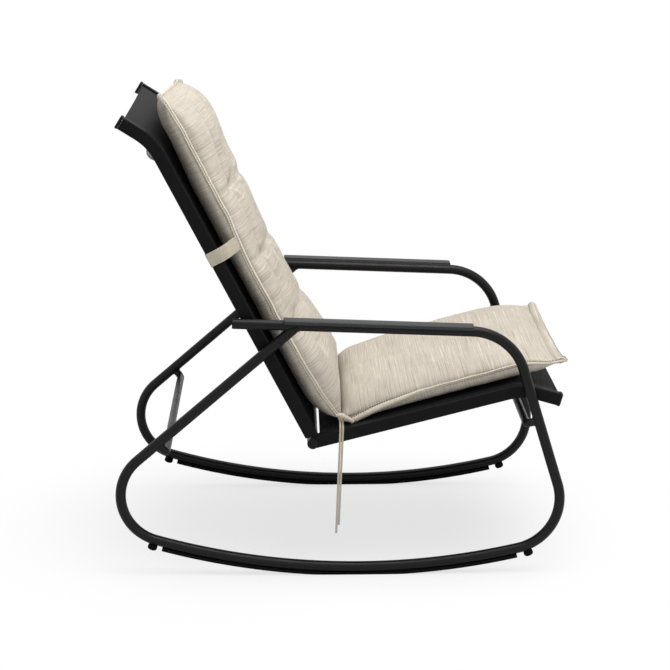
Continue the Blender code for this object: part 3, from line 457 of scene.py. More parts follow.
def soft_path(points, reach, steps):
    """Open path through points whose inner corners become quadratic curves."""
    p = np.asarray(points, float)
    gaps = np.linalg.norm(np.diff(p, axis=0), axis=1)
    reach = np.minimum(reach, 0.47 * np.minimum(gaps[:-1], gaps[1:]))[:, None]
    mid = p[1:-1]
    before = mid + unit(p[:-2] - mid) * reach
    after = mid + unit(p[2:] - mid) * reach
    return np.concatenate([p[:1], curves(before, mid, after, steps), p[-1:]])


def travelled(path):
    """Distance along a path at each of its points."""
    return np.concatenate([[0.0], np.cumsum(np.linalg.norm(np.diff(path, axis=0), axis=1))])


def evenly(path, count):
    """The same path with evenly spaced points."""
    far = travelled(path)
    at = np.linspace(0.0, far[-1], count)
    return np.stack([np.interp(at, far, path[:, i]) for i in range(path.shape[1])], axis=-1)


def sweep(path, y, section):
    """Section (a, b) carried along a path in the side plane: a along its normal, b sideways."""
    points, normals = path
    return xyz(points[:, None] + normals[:, None] * section[:, :1], y + section[:, 1])


def turned(origin, axis, profile, count=40):
    """Profile rows (distance, radius) spun about an axis."""
    axis = unit(np.asarray(axis, float))
    helper = X_AXIS if abs(axis[0]) < 0.9 else Y_AXIS
    across = unit(np.cross(axis, helper))
    other = np.cross(axis, across)
    ring = circle(1.0, count)
    spokes = ring[:, :1] * across + ring[:, 1:] * other
    profile = np.asarray(profile, float)
    return np.asarray(origin) + profile[:, :1, None] * axis + profile[:, 1:, None] * spokes


def ribbon(path, across, section):
    """Band along a 3D path: section rows (a, b) with a along across and b along the band's normal."""
    tangent = unit(np.gradient(path, axis=0))
    side = unit(across - tangent * np.sum(tangent * across, axis=-1, keepdims=True))
    normal = np.cross(tangent, side)
    return path[:, None] + section[:, :1] * side[:, None] + section[:, 1:] * normal[:, None]


def beads(ring, axis_a, axis_b, radius):
    """Closed bead along a closed ring of points: a small circle in the plane of two axes."""
    small = circle(radius, 8)
    return ring[:, None] + small[:, :1] * axis_a[:, None] + small[:, 1:] * axis_b[:, None]


def summed(steps):
    """Running sums of each row, from zero."""
    return np.concatenate([np.zeros((len(steps), 1)), np.cumsum(steps, axis=1)], axis=1)


def put(name, points, faces, uv, look, nodes, sharp):
    """Mesh object in the row frame, turned so that its faces point outwards."""
    tris = np.concatenate([f[:, [0, i, i + 1]] for f in faces for i in range(1, f.shape[1] - 1)])
    a, b, c = (points[tris[:, i]] - points.mean(axis=0) for i in range(3))
    if np.sum(a * np.cross(b, c)) < 0.0:
        faces = [f[:, ::-1] for f in faces]
        uv = [u[:, ::-1] for u in uv]
    mesh = bpy.data.meshes.new(name)
    mesh.from_pydata(points.tolist(), [], [row for f in faces for row in f.tolist()])
    layer = mesh.uv_layers.new(name="weave")
    layer.data.foreach_set("uv", np.concatenate([u.reshape(-1) for u in uv]).astype(np.float32))
    mesh.materials.append(finish(look))
    mesh.shade_smooth()
    mesh.set_sharp_from_angle(angle=math.radians(sharp))
    mesh.validate()
    item = bpy.data.objects.new(name, mesh)
    bpy.context.scene.collection.objects.link(item)
    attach(item, "root")
    if nodes:
        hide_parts(*nodes)
    return item


def surface(name, k, grid, look, nodes=(), looped=False, sharp=35.0):
    """Skin over grids of points: columns close into rings, rows too if looped, else fans cover the ends."""
    grid = np.asarray(grid, float) + k.shift
    grid = grid.reshape((-1,) + grid.shape[-3:])
    count, rows, cols = grid.shape[:3]
    index = np.arange(count * rows * cols).reshape(count, rows, cols)
    closed = np.concatenate([grid, grid[:, :1]], axis=1) if looped else grid
    far = summed(np.linalg.norm(np.diff(closed, axis=1), axis=-1).mean(axis=2))
    wide = np.concatenate([grid, grid[:, :, :1]], axis=2)
    wide = summed(np.linalg.norm(np.diff(wide, axis=2), axis=-1).mean(axis=1))
    low = index if looped else index[:, :-1]
    high = np.roll(index, -1, axis=1) if looped else index[:, 1:]
    quads = np.stack([low, np.roll(low, -1, axis=2), np.roll(high, -1, axis=2), high], axis=-1)
    spans = quads.shape[1]
    u0, u1 = far[:, :spans, None], far[:, 1:spans + 1, None]
    v0, v1 = wide[:, None, :-1], wide[:, None, 1:]
    corner = [pairs(u, v) for u, v in ((u0, v0), (u0, v1), (u1, v1), (u1, v0))]
    faces = [quads.reshape(-1, 4)]
    uv = [np.stack(corner, axis=-2).reshape(-1, 4, 2)]
    points = grid.reshape(-1, 3)
    if not looped:
        hubs = len(points) + np.arange(count * 2).reshape(count, 2)
        points = np.concatenate([points, grid[:, [0, -1]].mean(axis=2).reshape(-1, 3)])
        for end, flip in ((0, 1), (-1, -1)):
            ring = index[:, end]
            hub = np.broadcast_to(hubs[:, end, None], ring.shape)
            fan = np.stack([hub, np.roll(ring, -flip, axis=1), ring], axis=-1)
            faces.append(fan.reshape(-1, 3))
            centre = grid[:, end].mean(axis=1, keepdims=True)
            flat = np.linalg.norm(grid[:, end] - centre, axis=-1)
            around = pairs(far[:, [end]] + flat, wide[:, :-1])
            corner = [pairs(far[:, [end]], wide[:, :-1]), np.roll(around, -flip, axis=1), around]
            uv.append(np.stack(corner, axis=-2).reshape(-1, 3, 2))
    return put(name, points, faces, uv, look, nodes, sharp)


# Finishes

def add(tree, kind, sockets=None, **settings):
    """New node with its settings, and its sockets set or linked."""
    node = tree.nodes.new(kind)
    for key, value in settings.items():
        setattr(node, key, value)
    for key, value in (sockets or {}).items():
        if isinstance(value, bpy.types.NodeSocket):
            tree.links.new(value, node.inputs[key])
        else:
            node.inputs[key].default_value = value
    return node


def blank(name, rough, metal=0.0, specular=0.5, sheen=0.0):
    """Material with a principled shader whose even values sit on its own sockets."""
    material = bpy.data.materials.new(name)
    material.use_nodes = True
    shader = material.node_tree.nodes["Principled BSDF"]
    shader.inputs["Roughness"].default_value = rough
    shader.inputs["Metallic"].default_value = metal
    shader.inputs["Specular IOR Level"].default_value = specular
    shader.inputs["Sheen Weight"].default_value = sheen
    return material, material.node_tree, shader


def blended(tree, factor, dark, light):
    """Colour between a dark and a light tone."""
    mix = add(tree, "ShaderNodeMix", data_type="RGBA")
    tree.links.new(factor, mix.inputs[0])
    mix.inputs[6].default_value = (*dark, 1.0)
    mix.inputs[7].default_value = (*light, 1.0)
    return mix.outputs[2]


def ranged(tree, value, low, high, out_low, out_high):
    """Value mapped from low..high to another range and held there."""
    return add(tree, "ShaderNodeMapRange", {0: value, 1: low, 2: high, 3: out_low, 4: out_high}).outputs[0]


def dressed(tree, shader, tones, gloss, rough, height, relief):
    """Colour, gloss and relief of a finish: tones = (factor, dark, light), relief = (strength, distance)."""
    tree.links.new(blended(tree, *tones), shader.inputs["Base Color"])
    tree.links.new(ranged(tree, gloss, 0.3, 0.7, *rough), shader.inputs["Roughness"])
    bump = add(tree, "ShaderNodeBump", {"Strength": relief[0], "Distance": relief[1], "Height": height})
    tree.links.new(bump.outputs[0], shader.inputs["Normal"])


def flecked(name, dark, light, rough, grain, relief, metal=0.0, specular=0.5, stretch=(1.0, 1.0, 1.0)):
    """Two tones in fine grain that also lifts the surface, with the gloss drifting more broadly."""
    material, tree, shader = blank(name, rough, metal, specular)
    place = add(tree, "ShaderNodeTexCoord").outputs["Object"]
    place = add(tree, "ShaderNodeMapping", {"Vector": place, "Scale": stretch}).outputs[0]
    fine = add(tree, "ShaderNodeTexNoise", {"Vector": place, "Scale": grain, "Detail": 3.0}).outputs[0]
    broad = {"Vector": place, "Scale": grain / 18.0, "Detail": 2.0}
    broad = add(tree, "ShaderNodeTexNoise", broad).outputs[0]
    tone = ranged(tree, fine, 0.3, 0.7, 0.0, 1.0)
    dressed(tree, shader, (tone, dark, light), broad, (rough - 0.07, rough + 0.07), fine, (relief, 0.0003))
    return material


def plus(tree, a, b, clamp=False):
    """Sum of two values."""
    return add(tree, "ShaderNodeMath", {0: a, 1: b}, operation="ADD", use_clamp=clamp).outputs[0]


def streaks(tree, place, along, across, detail, shift=0.0, rough=0.6):
    """Noise on a piece's own map, with so many grains to the metre along it and across it."""
    sockets = {"Vector": place, "Scale": (along, across, 1.0), "Location": (shift, shift, 0.0)}
    scaled = add(tree, "ShaderNodeMapping", sockets).outputs[0]
    sockets = {"Vector": scaled, "Scale": 1.0, "Detail": detail, "Roughness": rough}
    return add(tree, "ShaderNodeTexNoise", sockets, noise_dimensions="2D").outputs[0]


def waves(tree, place, direction, pitch):
    """Even ribs, pitch metres apart, along one direction of the map."""
    sockets = {"Vector": place, "Scale": math.tau / 20.0 / pitch, "Distortion": 0.0}
    node = add(tree, "ShaderNodeTexWave", sockets, wave_type="BANDS", bands_direction=direction)
    return node.outputs["Fac"]


def woven(name, dark, light, rough, pitch, relief, slub, sheen=0.0, specular=0.3):
    """Crossed threads on the piece's own map, with slubs drawn out across it and slow drifts of tone."""
    material, tree, shader = blank(name, rough, 0.0, specular, sheen)
    place = add(tree, "ShaderNodeUVMap", uv_map="weave").outputs[0]
    threads = plus(tree, waves(tree, place, "X", pitch), waves(tree, place, "Y", pitch))
    slubs = streaks(tree, place, 0.62 / pitch, 22.0, 4.0, rough=0.62)
    warp = streaks(tree, place, 40.0, 0.5 / pitch, 3.0, rough=0.5)
    slow = streaks(tree, place, 9.0, 9.0, 3.0, rough=0.5)
    tone = plus(tree, ranged(tree, slubs, 0.33, 0.67, 0.5 - slub, 0.5 + slub),
                ranged(tree, warp, 0.3, 0.7, -0.14, 0.14))
    tone = plus(tree, tone, ranged(tree, slow, 0.3, 0.7, -0.08, 0.08))
    tone = plus(tree, tone, ranged(tree, threads, 0.0, 2.0, -0.10, 0.10), True)
    height = plus(tree, threads, ranged(tree, slubs, 0.3, 0.7, 0.0, 2.0))
    dressed(tree, shader, (tone, dark, light), slubs, (rough - 0.05, rough + 0.05), height, (relief, 0.0004))
    return material


def slubbed(name, dark, light, rough):
    """Cushion cloth: a fine cross weave, with pale and dark slubs drawn out across the pad."""
    material, tree, shader = blank(name, rough, 0.0, 0.12, 0.06)
    place = add(tree, "ShaderNodeUVMap", uv_map="weave").outputs[0]
    lines = streaks(tree, place, 640.0, 5.0, 1.0)
    dashes = streaks(tree, place, 260.0, 34.0, 1.0, 7.3)
    gaps = streaks(tree, place, 560.0, 6.0, 1.0, 11.9)
    fine = streaks(tree, place, 1250.0, 420.0, 2.0, 3.1)
    warp = streaks(tree, place, 420.0, 1100.0, 2.0, 5.7)
    slow = streaks(tree, place, 9.0, 9.0, 3.0, 1.9)
    tone = ranged(tree, fine, 0.3, 0.7, 0.41, 0.61)
    for value, low, high, start, end in ((warp, 0.3, 0.7, -0.08, 0.08), (slow, 0.3, 0.7, -0.07, 0.07),
                                         (lines, 0.59, 0.66, 0.0, 0.40), (dashes, 0.65, 0.73, 0.0, 0.16)):
        tone = plus(tree, tone, ranged(tree, value, low, high, start, end))
    tone = plus(tree, tone, ranged(tree, gaps, 0.59, 0.67, 0.0, -0.36), True)
    height = plus(tree, ranged(tree, fine, 0.3, 0.7, 0.0, 0.5), ranged(tree, warp, 0.3, 0.7, 0.0, 0.4))
    height = plus(tree, tone, height)
    dressed(tree, shader, (tone, dark, light), fine, (rough - 0.05, rough + 0.05), height, (0.55, 0.0009))
    return material


# Finishes: how they are made, the name of their colours, and their values
FINISHES = {
    "frame_coat": (flecked, "coat", dict(rough=0.36, grain=900.0, relief=0.10, specular=0.20)),
    "rail_coat": (flecked, "coat", dict(rough=0.52, grain=900.0, relief=0.12, specular=0.10)),
    "arm_pad_plastic": (flecked, "pad", dict(rough=0.55, grain=700.0, relief=0.22, specular=0.3,
                                             stretch=(0.12, 1.0, 1.0))),
    "cap_plastic": (flecked, "plastic", dict(rough=0.60, grain=800.0, relief=0.15, specular=0.12)),
    "strip_rubber": (flecked, "rubber", dict(rough=0.80, grain=600.0, relief=0.25, specular=0.1)),
    "rod_plastic": (flecked, "rod", dict(rough=0.55, grain=700.0, relief=0.15)),
    "bolt_steel": (flecked, "steel", dict(rough=0.36, grain=900.0, relief=0.08, metal=1.0,
                                          stretch=(1.0, 0.2, 1.0))),
    "sling_weave": (woven, "sling", dict(rough=0.75, pitch=0.0016, relief=0.6, slub=0.22, specular=0.2)),
    "cushion_cloth": (slubbed, "cloth", dict(rough=0.92)),
    # Painted highlight: the welts and the knot use the cushion cloth's weave in paler colours, as if lit
    "piping_cloth": (slubbed, "piping", dict(rough=0.92)),
    "tape_weave": (woven, "tape", dict(rough=0.88, pitch=0.0013, relief=0.5, slub=0.2, sheen=0.05,
                                       specular=0.15)),
    "seam_thread": (flecked, "thread", dict(rough=0.8, grain=1500.0, relief=0.3, specular=0.2)),
}


def finish(name):
    """The named finish, made from the scene's colours on first use."""
    if name in bpy.data.materials:
        return bpy.data.materials[name]
    make, tones, values = FINISHES[name]
    colours = bpy.context.scene.chair_finishes
    return make(name, getattr(colours, tones + "_dark"), getattr(colours, tones + "_light"), **values)


class CHAIR_OT_stage(bpy.types.Operator):
    """Floor, soft lamps, white surround and the camera"""
    bl_idname = "chair.stage"
    bl_label = "Stage"

    def execute(self, context):
        scene = context.scene
        scene.view_settings.view_transform = "Standard"
        camera = bpy.data.cameras.new("camera")
        camera.lens = LENS
        camera.sensor_width = SENSOR
        camera.clip_end = 100.0
        eye = bpy.data.objects.new("camera", camera)
        eye.location = EYE
        eye.rotation_euler = (math.radians(90.0 - EYE_DOWN), 0.0, math.radians(EYE_TURN))
        scene.collection.objects.link(eye)
        scene.camera = eye
        self.floor(scene)
        self.surround(scene)
        for name, place, aim, size, power in LAMPS:
            lamp = bpy.data.lights.new(name, "AREA")
            lamp.shape = "SQUARE"
            lamp.size = size
            lamp.energy = power
            item = bpy.data.objects.new(name, lamp)
            item.location = place
            way = unit(np.array(aim) - np.array(place))
            item.rotation_euler = (math.acos(-way[2]), 0.0, math.atan2(way[1], way[0]) - math.pi / 2)
            scene.collection.objects.link(item)
        return {"FINISHED"}

    def floor(self, scene):
        """Flat square; its own shade near the chair fades to plain white further out."""
        reach = FLOOR_REACH
        mesh = bpy.data.meshes.new("studio_floor")
        corners = [(-reach, -reach, 0.0), (reach, -reach, 0.0), (reach, reach, 0.0), (-reach, reach, 0.0)]
        mesh.from_pydata(corners, [], [(0, 1, 2, 3)])
        item = bpy.data.objects.new("studio_floor", mesh)
        scene.collection.objects.link(item)
        material, tree, shader = blank("studio_floor", 0.9, specular=0.1)
        shader.inputs["Base Color"].default_value = (*scene.chair_finishes.floor, 1.0)
        place = add(tree, "ShaderNodeTexCoord").outputs["Object"]
        spread = add(tree, "ShaderNodeMapping", {"Vector": place, "Scale": (1.0, 1.15, 1.0)}).outputs[0]
        far = add(tree, "ShaderNodeVectorMath", {0: spread}, operation="LENGTH").outputs["Value"]
        fade = add(tree, "ShaderNodeMapRange", {0: far, 1: FADE_NEAR, 2: FADE_FAR, 3: FADE_LEAST, 4: 1.0},
                   interpolation_type="SMOOTHSTEP").outputs[0]
        direct = add(tree, "ShaderNodeLightPath").outputs["Is Camera Ray"]
        seen = add(tree, "ShaderNodeMath", {0: fade, 1: direct}, operation="MULTIPLY").outputs[0]
        white = add(tree, "ShaderNodeEmission", {"Color": WHITE, "Strength": 1.0}).outputs[0]
        mix = add(tree, "ShaderNodeMixShader", {0: seen, 1: shader.outputs[0], 2: white})
        tree.links.new(mix.outputs[0], tree.nodes["Material Output"].inputs["Surface"])
        mesh.materials.append(material)

    def surround(self, scene):
        """World: plain white to the camera and to gloss, and dimmer as a light."""
        world = bpy.data.worlds.new("surround")
        world.use_nodes = True
        tree = world.node_tree
        path = add(tree, "ShaderNodeLightPath").outputs
        seen = path["Is Camera Ray"]
        for ray in ("Is Glossy Ray", "Is Transmission Ray"):
            seen = add(tree, "ShaderNodeMath", {0: seen, 1: path[ray]}, operation="MAXIMUM").outputs[0]
        strength = ranged(tree, seen, 0.0, 1.0, SURROUND, 1.0)
        back = tree.nodes["Background"]
        back.inputs["Color"].default_value = WHITE
        tree.links.new(strength, back.inputs["Strength"])
        scene.world = world


class CHAIR_OT_ties(bpy.types.Operator):
    """Two tails of the corner tie, over the seat rail and down under their own weight, and its knot"""
    bl_idname = "chair.ties"
    bl_label = "Corner Ties"

    def execute(self, context):
        k = chair_lines(context.scene)
        c, r = k.c, k.r
        top = r.seat_low + math.tan(r.seat_pitch) * (c.tie_x + c.tie_wide) + r.deep / math.cos(r.seat_pitch)
        section = circle(0.5, 12) * np.array([c.tie_wide, c.tie_thick])
        upper = on_back(k, c.back_start, TIE_SEAM_D)
        lower = on_seat(k, k.seat_first, TIE_SEAM_H * c.seat_seam)
        for name, corner, shift, lay, low in (
                ("cushion_tie_long", upper, -TIE_SPREAD, TIE_LAP, c.tie_long),
                ("cushion_tie_short", lower, TIE_SPREAD, 0.0, c.tie_short)):
            out = k.rail_out + TIE_OUT + lay
            high = top + TIE_LIE + lay
            route = [(TIE_SEAM_Y, corner[1]), (-(k.rail_in + 0.004), high),
                     (-(k.rail_out + TOUCH), high - TOUCH), (-(out - 0.0004), high - 0.0018),
                     (-out, high - 0.0050), (-out, high - 0.010), (-out, low)]
            y, z = np.array(route).T
            x = c.tie_x + shift - c.tie_sway * np.maximum(0.0, (high - z) / (high - low))
            path = evenly(soft_path(np.stack([x, y, z], axis=-1), 0.003, 7), 36)
            item = surface(name + "_tape", k, ribbon(path, X_AXIS, section), "tape_weave", [name])
        self.knot(k)
        return {"FINISHED"}

    def knot(self, k):
        """Wound knot at the fold: a short bent roll with a spiral of bumps."""
        path = evenly(soft_path(KNOT_AXIS, 0.006, 6), 40)
        t = np.linspace(0.0, 1.0, 40)[:, None]
        turn = np.linspace(0.0, math.tau, 14, endpoint=False)
        thick = KNOT_RADIUS * (1.0 - 0.4 * (2.0 * t - 1.0) ** 4)
        thick = thick * (1.0 + KNOT_BUMP * np.cos(KNOT_TURNS * math.tau * t + turn))
        way = unit(np.gradient(path, axis=0))
        out = unit(np.cross(way, Y_AXIS))
        side = np.cross(way, out)
        ring = np.cos(turn)[:, None] * out[:, None] + np.sin(turn)[:, None] * side[:, None]
        grid = path[:, None] + thick[..., None] * ring
        # The knot uses the paler welt cloth, a painted highlight
        surface("cushion_tie_knot", k, grid, "piping_cloth", sharp=80.0)


class CHAIR_OT_side_frames(bpy.types.Operator):
    """Tube of each side frame, the weld round its rear leg, and the plug in its arm"""
    bl_idname = "chair.side_frames"
    bl_label = "Side Frames"

    def execute(self, context):
        k = chair_lines(context.scene)
        f = k.f
        arm = bend(k.arm_c, f.arm_bend, polar(k.arm_n), f.front_lean)
        foot = bend(k.front_c, f.front_bend, f.front_lean, k.front_end)
        rocker = bend(k.rocker_c, f.rocker, k.front_end, k.rear_end, 0.008)
        heel = bend(k.rear_c, f.rear_bend, k.rear_end, polar(k.rear_n) - math.tau)
        top = k.rear_c + k.rear_n * f.rear_bend
        rise = (k.arm_off - k.tube * 1.6 - k.arm_n @ top) / (k.arm_n @ k.rear_t)
        path = joined(run(k.arm_end, arm[0][0], k.arm_n), arm, run(arm[0][-1], foot[0][0], k.front_n),
                      foot, rocker, heel, run(top, top + k.rear_t * rise, k.rear_n))
        skin = k.tube + f.coat
        section = circle(skin, 40)
        start = top + section[:, :1] * k.rear_n
        drop = np.sqrt(np.maximum(0.0, skin ** 2 - section[:, 1] ** 2))
        reach = (k.arm_off - drop - start @ k.arm_n) / (k.arm_n @ k.rear_t)
        end = start + reach[:, None] * k.rear_t
        out = unit(section)
        spoke = xyz(out[:, :1] * k.rear_n, out[:, 1])
        up = np.repeat(xyz(k.rear_t, 0.0)[None], len(spoke), axis=0)
        neck = k.tube - 0.002
        profile = np.concatenate([[(-0.004, neck), (0.0003, neck), (0.0003, k.tube)],
                                  rolled(0.0008, k.tube - 0.0012, 0.0012, 0.0012, 8),
                                  [(0.0021, k.tube * 0.6), (0.0022, k.tube * 0.2)]])
        for side_name, side in SIDES:
            y = side * k.frame_y
            cope = xyz(end, y + section[:, 1])
            grid = np.concatenate([sweep(path, y, section), cope[None]])
            surface("frame_tube_" + side_name, k, grid, "frame_coat", ["side_frame_" + side_name])
            bead = beads(cope + spoke * TOUCH - up * 0.0006, spoke, up, f.weld)
            surface("arm_weld_" + side_name, k, bead, "frame_coat", looped=True)
            plug = turned(xyz(k.arm_end, y), -xyz(k.arm_t, 0.0), profile)
            surface("arm_end_plug_" + side_name, k, plug, "cap_plastic",
                    ["arm_plug_" + side_name])
        return {"FINISHED"}


class CHAIR_OT_arm_pads(bpy.types.Operator):
    """Flat arm pads, let down over the tubes and rounded at their outer corners"""
    bl_idname = "chair.arm_pads"
    bl_label = "Arm Pads"

    def execute(self, context):
        k = chair_lines(context.scene)
        f = k.f
        clear = k.tube + f.coat + TOUCH
        top = k.tube + f.pad_rise
        low = top - f.pad_thick
        foot = math.sqrt(clear ** 2 - low ** 2)
        lap_up = math.sqrt(clear ** 2 - f.pad_in ** 2)
        plank = eased([(-f.pad_in, top), (f.pad_out, top), (f.pad_out, low)], (0.0012, 0.0024, 0.0012), 6)
        turn = np.linspace(math.atan2(low, foot), math.pi - math.atan2(lap_up, f.pad_in), 12)
        section = np.concatenate([plank[:18], clear * heading(turn)])
        whole = (f.pad_front - f.pad_rear) / k.arm_t[0]
        edge = f.pad_corner * (1.0 - np.cos(np.linspace(0.0, math.pi / 2, 12)))
        straight = np.linspace(f.pad_corner, whole - f.pad_corner, 24)[1:-1]
        s = np.concatenate([edge, straight, whole - edge[::-1]])
        brim = 0.0014
        draw, sink = (self.quarter(np.minimum(s, whole - s), radius) for radius in (f.pad_corner, brim))
        share = ramp(section[:, 0], foot, f.pad_out - foot)
        out = section[:, 0] - draw[:, None] * share
        up = section[:, 1] - sink[:, None] * (section[:, 1] > top - brim)
        base = arm_point(k, f.pad_rear) + s[:, None] * k.arm_t
        flat = base[:, None] + up[..., None] * k.arm_n
        for side_name, side in SIDES:
            surface("arm_plank_" + side_name, k, xyz(flat, side * (k.frame_y + out)), "arm_pad_plastic",
                    ["arm_pad_" + side_name])
        return {"FINISHED"}

    def quarter(self, far, radius):
        """How far a rounded corner stands back, at distances from the end."""
        near = np.clip(far, 0.0, radius)
        return radius - np.sqrt(np.maximum(0.0, radius ** 2 - (radius - near) ** 2))


class CHAIR_OT_rocker_feet(bpy.types.Operator):
    """Wear strips along the rockers and the round stops past their ends"""
    bl_idname = "chair.rocker_feet"
    bl_label = "Rocker Feet"

    def execute(self, context):
        k = chair_lines(context.scene)
        f = k.f
        high = k.tube + f.strip_off
        low = high + f.strip_thick
        half = f.strip_wide / 2
        section = eased([(high - TOUCH, -half), (high - TOUCH, half), (low, half), (low, -half)],
                        (0.0008, 0.0008, 0.003, 0.003), 6)
        path = bend(k.rocker_c, f.rocker, k.front_end - f.strip_front, k.rear_end + f.strip_rear, 0.006)
        floor = k.rocker_c[1] - math.sqrt((f.rocker + low) ** 2 - (f.strip_flat / 2) ** 2)
        tall = f.stop_high + 0.0015
        wide = f.stop_radius
        brim = wide * 0.42
        profile = np.concatenate([[(0.0, wide * 0.86), (0.002, wide * 0.93), (0.0042, wide)],
                                  rolled(tall - brim, wide - brim, brim, brim, 9), [(tall, wide * 0.25)]])
        for side_name, side in SIDES:
            y = side * k.frame_y
            grid = sweep(path, y, section)
            grid[..., 2] = np.maximum(grid[..., 2], floor)
            surface("wear_strip_" + side_name, k, grid, "strip_rubber",
                    ["rocker_strip_" + side_name])
            for end, centre, radius, turn in (("front", k.front_c, f.front_bend, k.front_end + f.stop_front),
                                              ("rear", k.rear_c, f.rear_bend, k.rear_end - f.stop_rear)):
                way = heading(turn)
                seat = centre + way * (radius + k.tube - 0.0012)
                grid = turned(xyz(seat, y), xyz(way, 0.0), profile)
                name = end + "_" + side_name
                surface("stop_button_" + name, k, grid, "strip_rubber", ["rocker_stop_" + name])
        return {"FINISHED"}


class CHAIR_OT_crossbars(bpy.types.Operator):
    """U-shaped crossbars that stand off the legs, with a weld round each stub"""
    bl_idname = "chair.crossbars"
    bl_label = "Crossbars"

    def execute(self, context):
        k = chair_lines(context.scene)
        f = k.f
        section = circle(f.bar / 2, 32, 0.13)
        turn = np.linspace(0.0, math.pi / 2, 14)
        out_y = -np.cos(turn)
        out_m = np.sin(turn)
        half_y = -k.frame_y + f.bar_bend + out_y * f.bar_bend
        half_m = f.bar_off - f.bar_bend + out_m * f.bar_bend
        straight = np.linspace(half_y[-1], -half_y[-1], 30)[1:-1]
        y = np.concatenate([half_y, straight, -half_y[::-1]])
        m = np.concatenate([half_m, np.full(len(straight), f.bar_off), half_m[::-1]])
        n_y = np.concatenate([out_y, np.zeros(len(straight)), -out_y[::-1]])
        n_m = np.concatenate([out_m, np.ones(len(straight)), out_m[::-1]])
        for name, normal, offset, level in (("rear_crossbar", k.rear_n, k.rear_off, f.bar_rear),
                                            ("front_crossbar", k.front_n, k.front_off, f.bar_front)):
            base = xyz(meet(normal, offset, np.array([0.0, 1.0]), level), 0.0)
            away = -xyz(normal, 0.0)
            along = np.array([-away[2], 0.0, away[0]])
            centre = base + m[:, None] * away + y[:, None] * Y_AXIS
            spoke = n_y[:, None] * Y_AXIS + n_m[:, None] * away
            body = centre[:, None] + section[:, :1] * along + section[:, 1:] * spoke[:, None]
            rise = np.sqrt((k.tube + TOUCH) ** 2 - section[:, 1] ** 2)
            ends = []
            for side_name, side in SIDES:
                flat = section[:, :1] * along + side * section[:, 1:] * Y_AXIS
                cope = base + side * k.frame_y * Y_AXIS + flat + rise[:, None] * away
                ends.append(cope)
                bead = beads(cope + unit(flat) * TOUCH + away * 0.0005, unit(flat),
                             np.repeat(away[None], len(flat), axis=0), f.weld)
                surface(name + "_weld_" + side_name, k, bead, "frame_coat", looped=True)
            grid = np.concatenate([ends[0][None], body, ends[1][None]])
            surface(name + "_tube", k, grid, "frame_coat", [name])
        return {"FINISHED"}


class CHAIR_OT_rails(bpy.types.Operator):
    """Grooved rails of seat and back, each with its end cap"""
    bl_idname = "chair.rails"
    bl_label = "Rails"

    def execute(self, context):
        k = chair_lines(context.scene)
        for side_name, side in SIDES:
            section = self.section(k, side)
            for part, path in (("back", k.back_path), ("seat", k.seat_path)):
                grid = sweep(path, 0.0, section)
                if part == "back":
                    depth = k.r.deep / 2 + section[:, 0]
                    grid[0] = xyz(on_back(k, seat_meets_back(k, depth), depth), section[:, 1])
                name = part + "_rail_" + side_name
                surface(part + "_rail_bar_" + side_name, k, grid, "rail_coat", [name])
                self.cap(k, part, side_name, side, path)
        return {"FINISHED"}

    def section(self, k, side):
        """Rounded box with a keyhole groove on its inner face."""
        r = k.r
        half = r.deep / 2
        inner, outer = side * k.rail_in, side * k.rail_out
        mouth = r.groove_mouth / 2
        lip = math.asin(mouth / r.groove_bore)
        turn = np.linspace(lip, math.tau - lip, 14)
        groove = pairs(k.sling_a + r.groove_bore * np.sin(turn),
                       side * (k.rail_in + r.groove_deep) - side * r.groove_bore * np.cos(turn))
        box = eased([(-half, inner), (-half, outer), (half, outer), (half, inner)],
                    (r.corner * 0.6, r.corner, r.corner, r.corner * 0.6), 7)
        return np.concatenate([box, [(k.sling_a + mouth, inner)], groove, [(k.sling_a - mouth, inner)]])

    def cap(self, k, part, side_name, side, path):
        """Rounded box drawn in at its outer end."""
        r = k.r
        points, normals = path
        ahead = unit(points[-1] - points[-2])
        curve = np.linspace(0.0, math.pi / 2, 7)
        brim = 0.0022
        s = np.concatenate([[TOUCH, 0.0012], r.cap - brim + brim * np.sin(curve)])
        inset = np.concatenate([[0.0005, 0.0], brim - brim * np.cos(curve)])
        a, b = r.deep / 2 + r.cap_lip, r.wide / 2 + r.cap_lip
        rows = box_outline(a, b, 0.0042, 7) * (1.0 - inset[:, None, None] / np.array([a, b]))
        base = points[-1] + s[:, None] * ahead
        middle = side * (k.rail_in + k.rail_out) / 2
        grid = xyz(base[:, None] + rows[..., :1] * normals[-1], middle + rows[..., 1])
        surface(part + "_rail_end_" + side_name, k, grid, "cap_plastic",
                [part + "_rail_cap_" + side_name])


class CHAIR_OT_cross_tubes(bpy.types.Operator):
    """Cross tube with its plugs, and the bowed spreader high behind the back"""
    bl_idname = "chair.cross_tubes"
    bl_label = "Cross Tubes"

    def execute(self, context):
        k = chair_lines(context.scene)
        r = k.r
        radius = r.cross / 2
        profile = pairs(np.linspace(0.0, 2 * k.rail_out, 24), radius)
        grid = turned(xyz(k.cross, -k.rail_out), Y_AXIS, profile, 48)
        surface("cross_tube", k, grid, "frame_coat", ["seat_back_cross_tube"])
        neck = radius - 0.002
        profile = np.concatenate([[(-0.003, neck), (TOUCH, neck), (TOUCH, radius - TOUCH)],
                                  rolled(0.0005, radius - 0.0012, 0.0009, 0.0010, 7),
                                  [(0.00142, radius * 0.4)]])
        for side_name, side in SIDES:
            grid = turned(xyz(k.cross, side * k.rail_out), side * Y_AXIS, profile, 48)
            surface("cross_plug_" + side_name, k, grid, "cap_plastic",
                    ["cross_tube_plug_" + side_name])
        reach = k.rail_in - TOUCH
        y = np.linspace(-reach, reach, 60)
        depth = r.deep / 2 - 0.0035 - r.spreader_bow * (1.0 - (y / reach) ** 2)
        centre = xyz(on_back(k, np.full(len(y), r.spreader_at), depth), y)
        ring = circle(r.spreader / 2, 32)
        grid = centre[:, None] + ring[:, :1] * xyz(k.back_n, 0.0) + ring[:, 1:] * xyz(k.back_u, 0.0)
        surface("spreader_tube", k, grid, "frame_coat", ["back_spreader"])
        return {"FINISHED"}


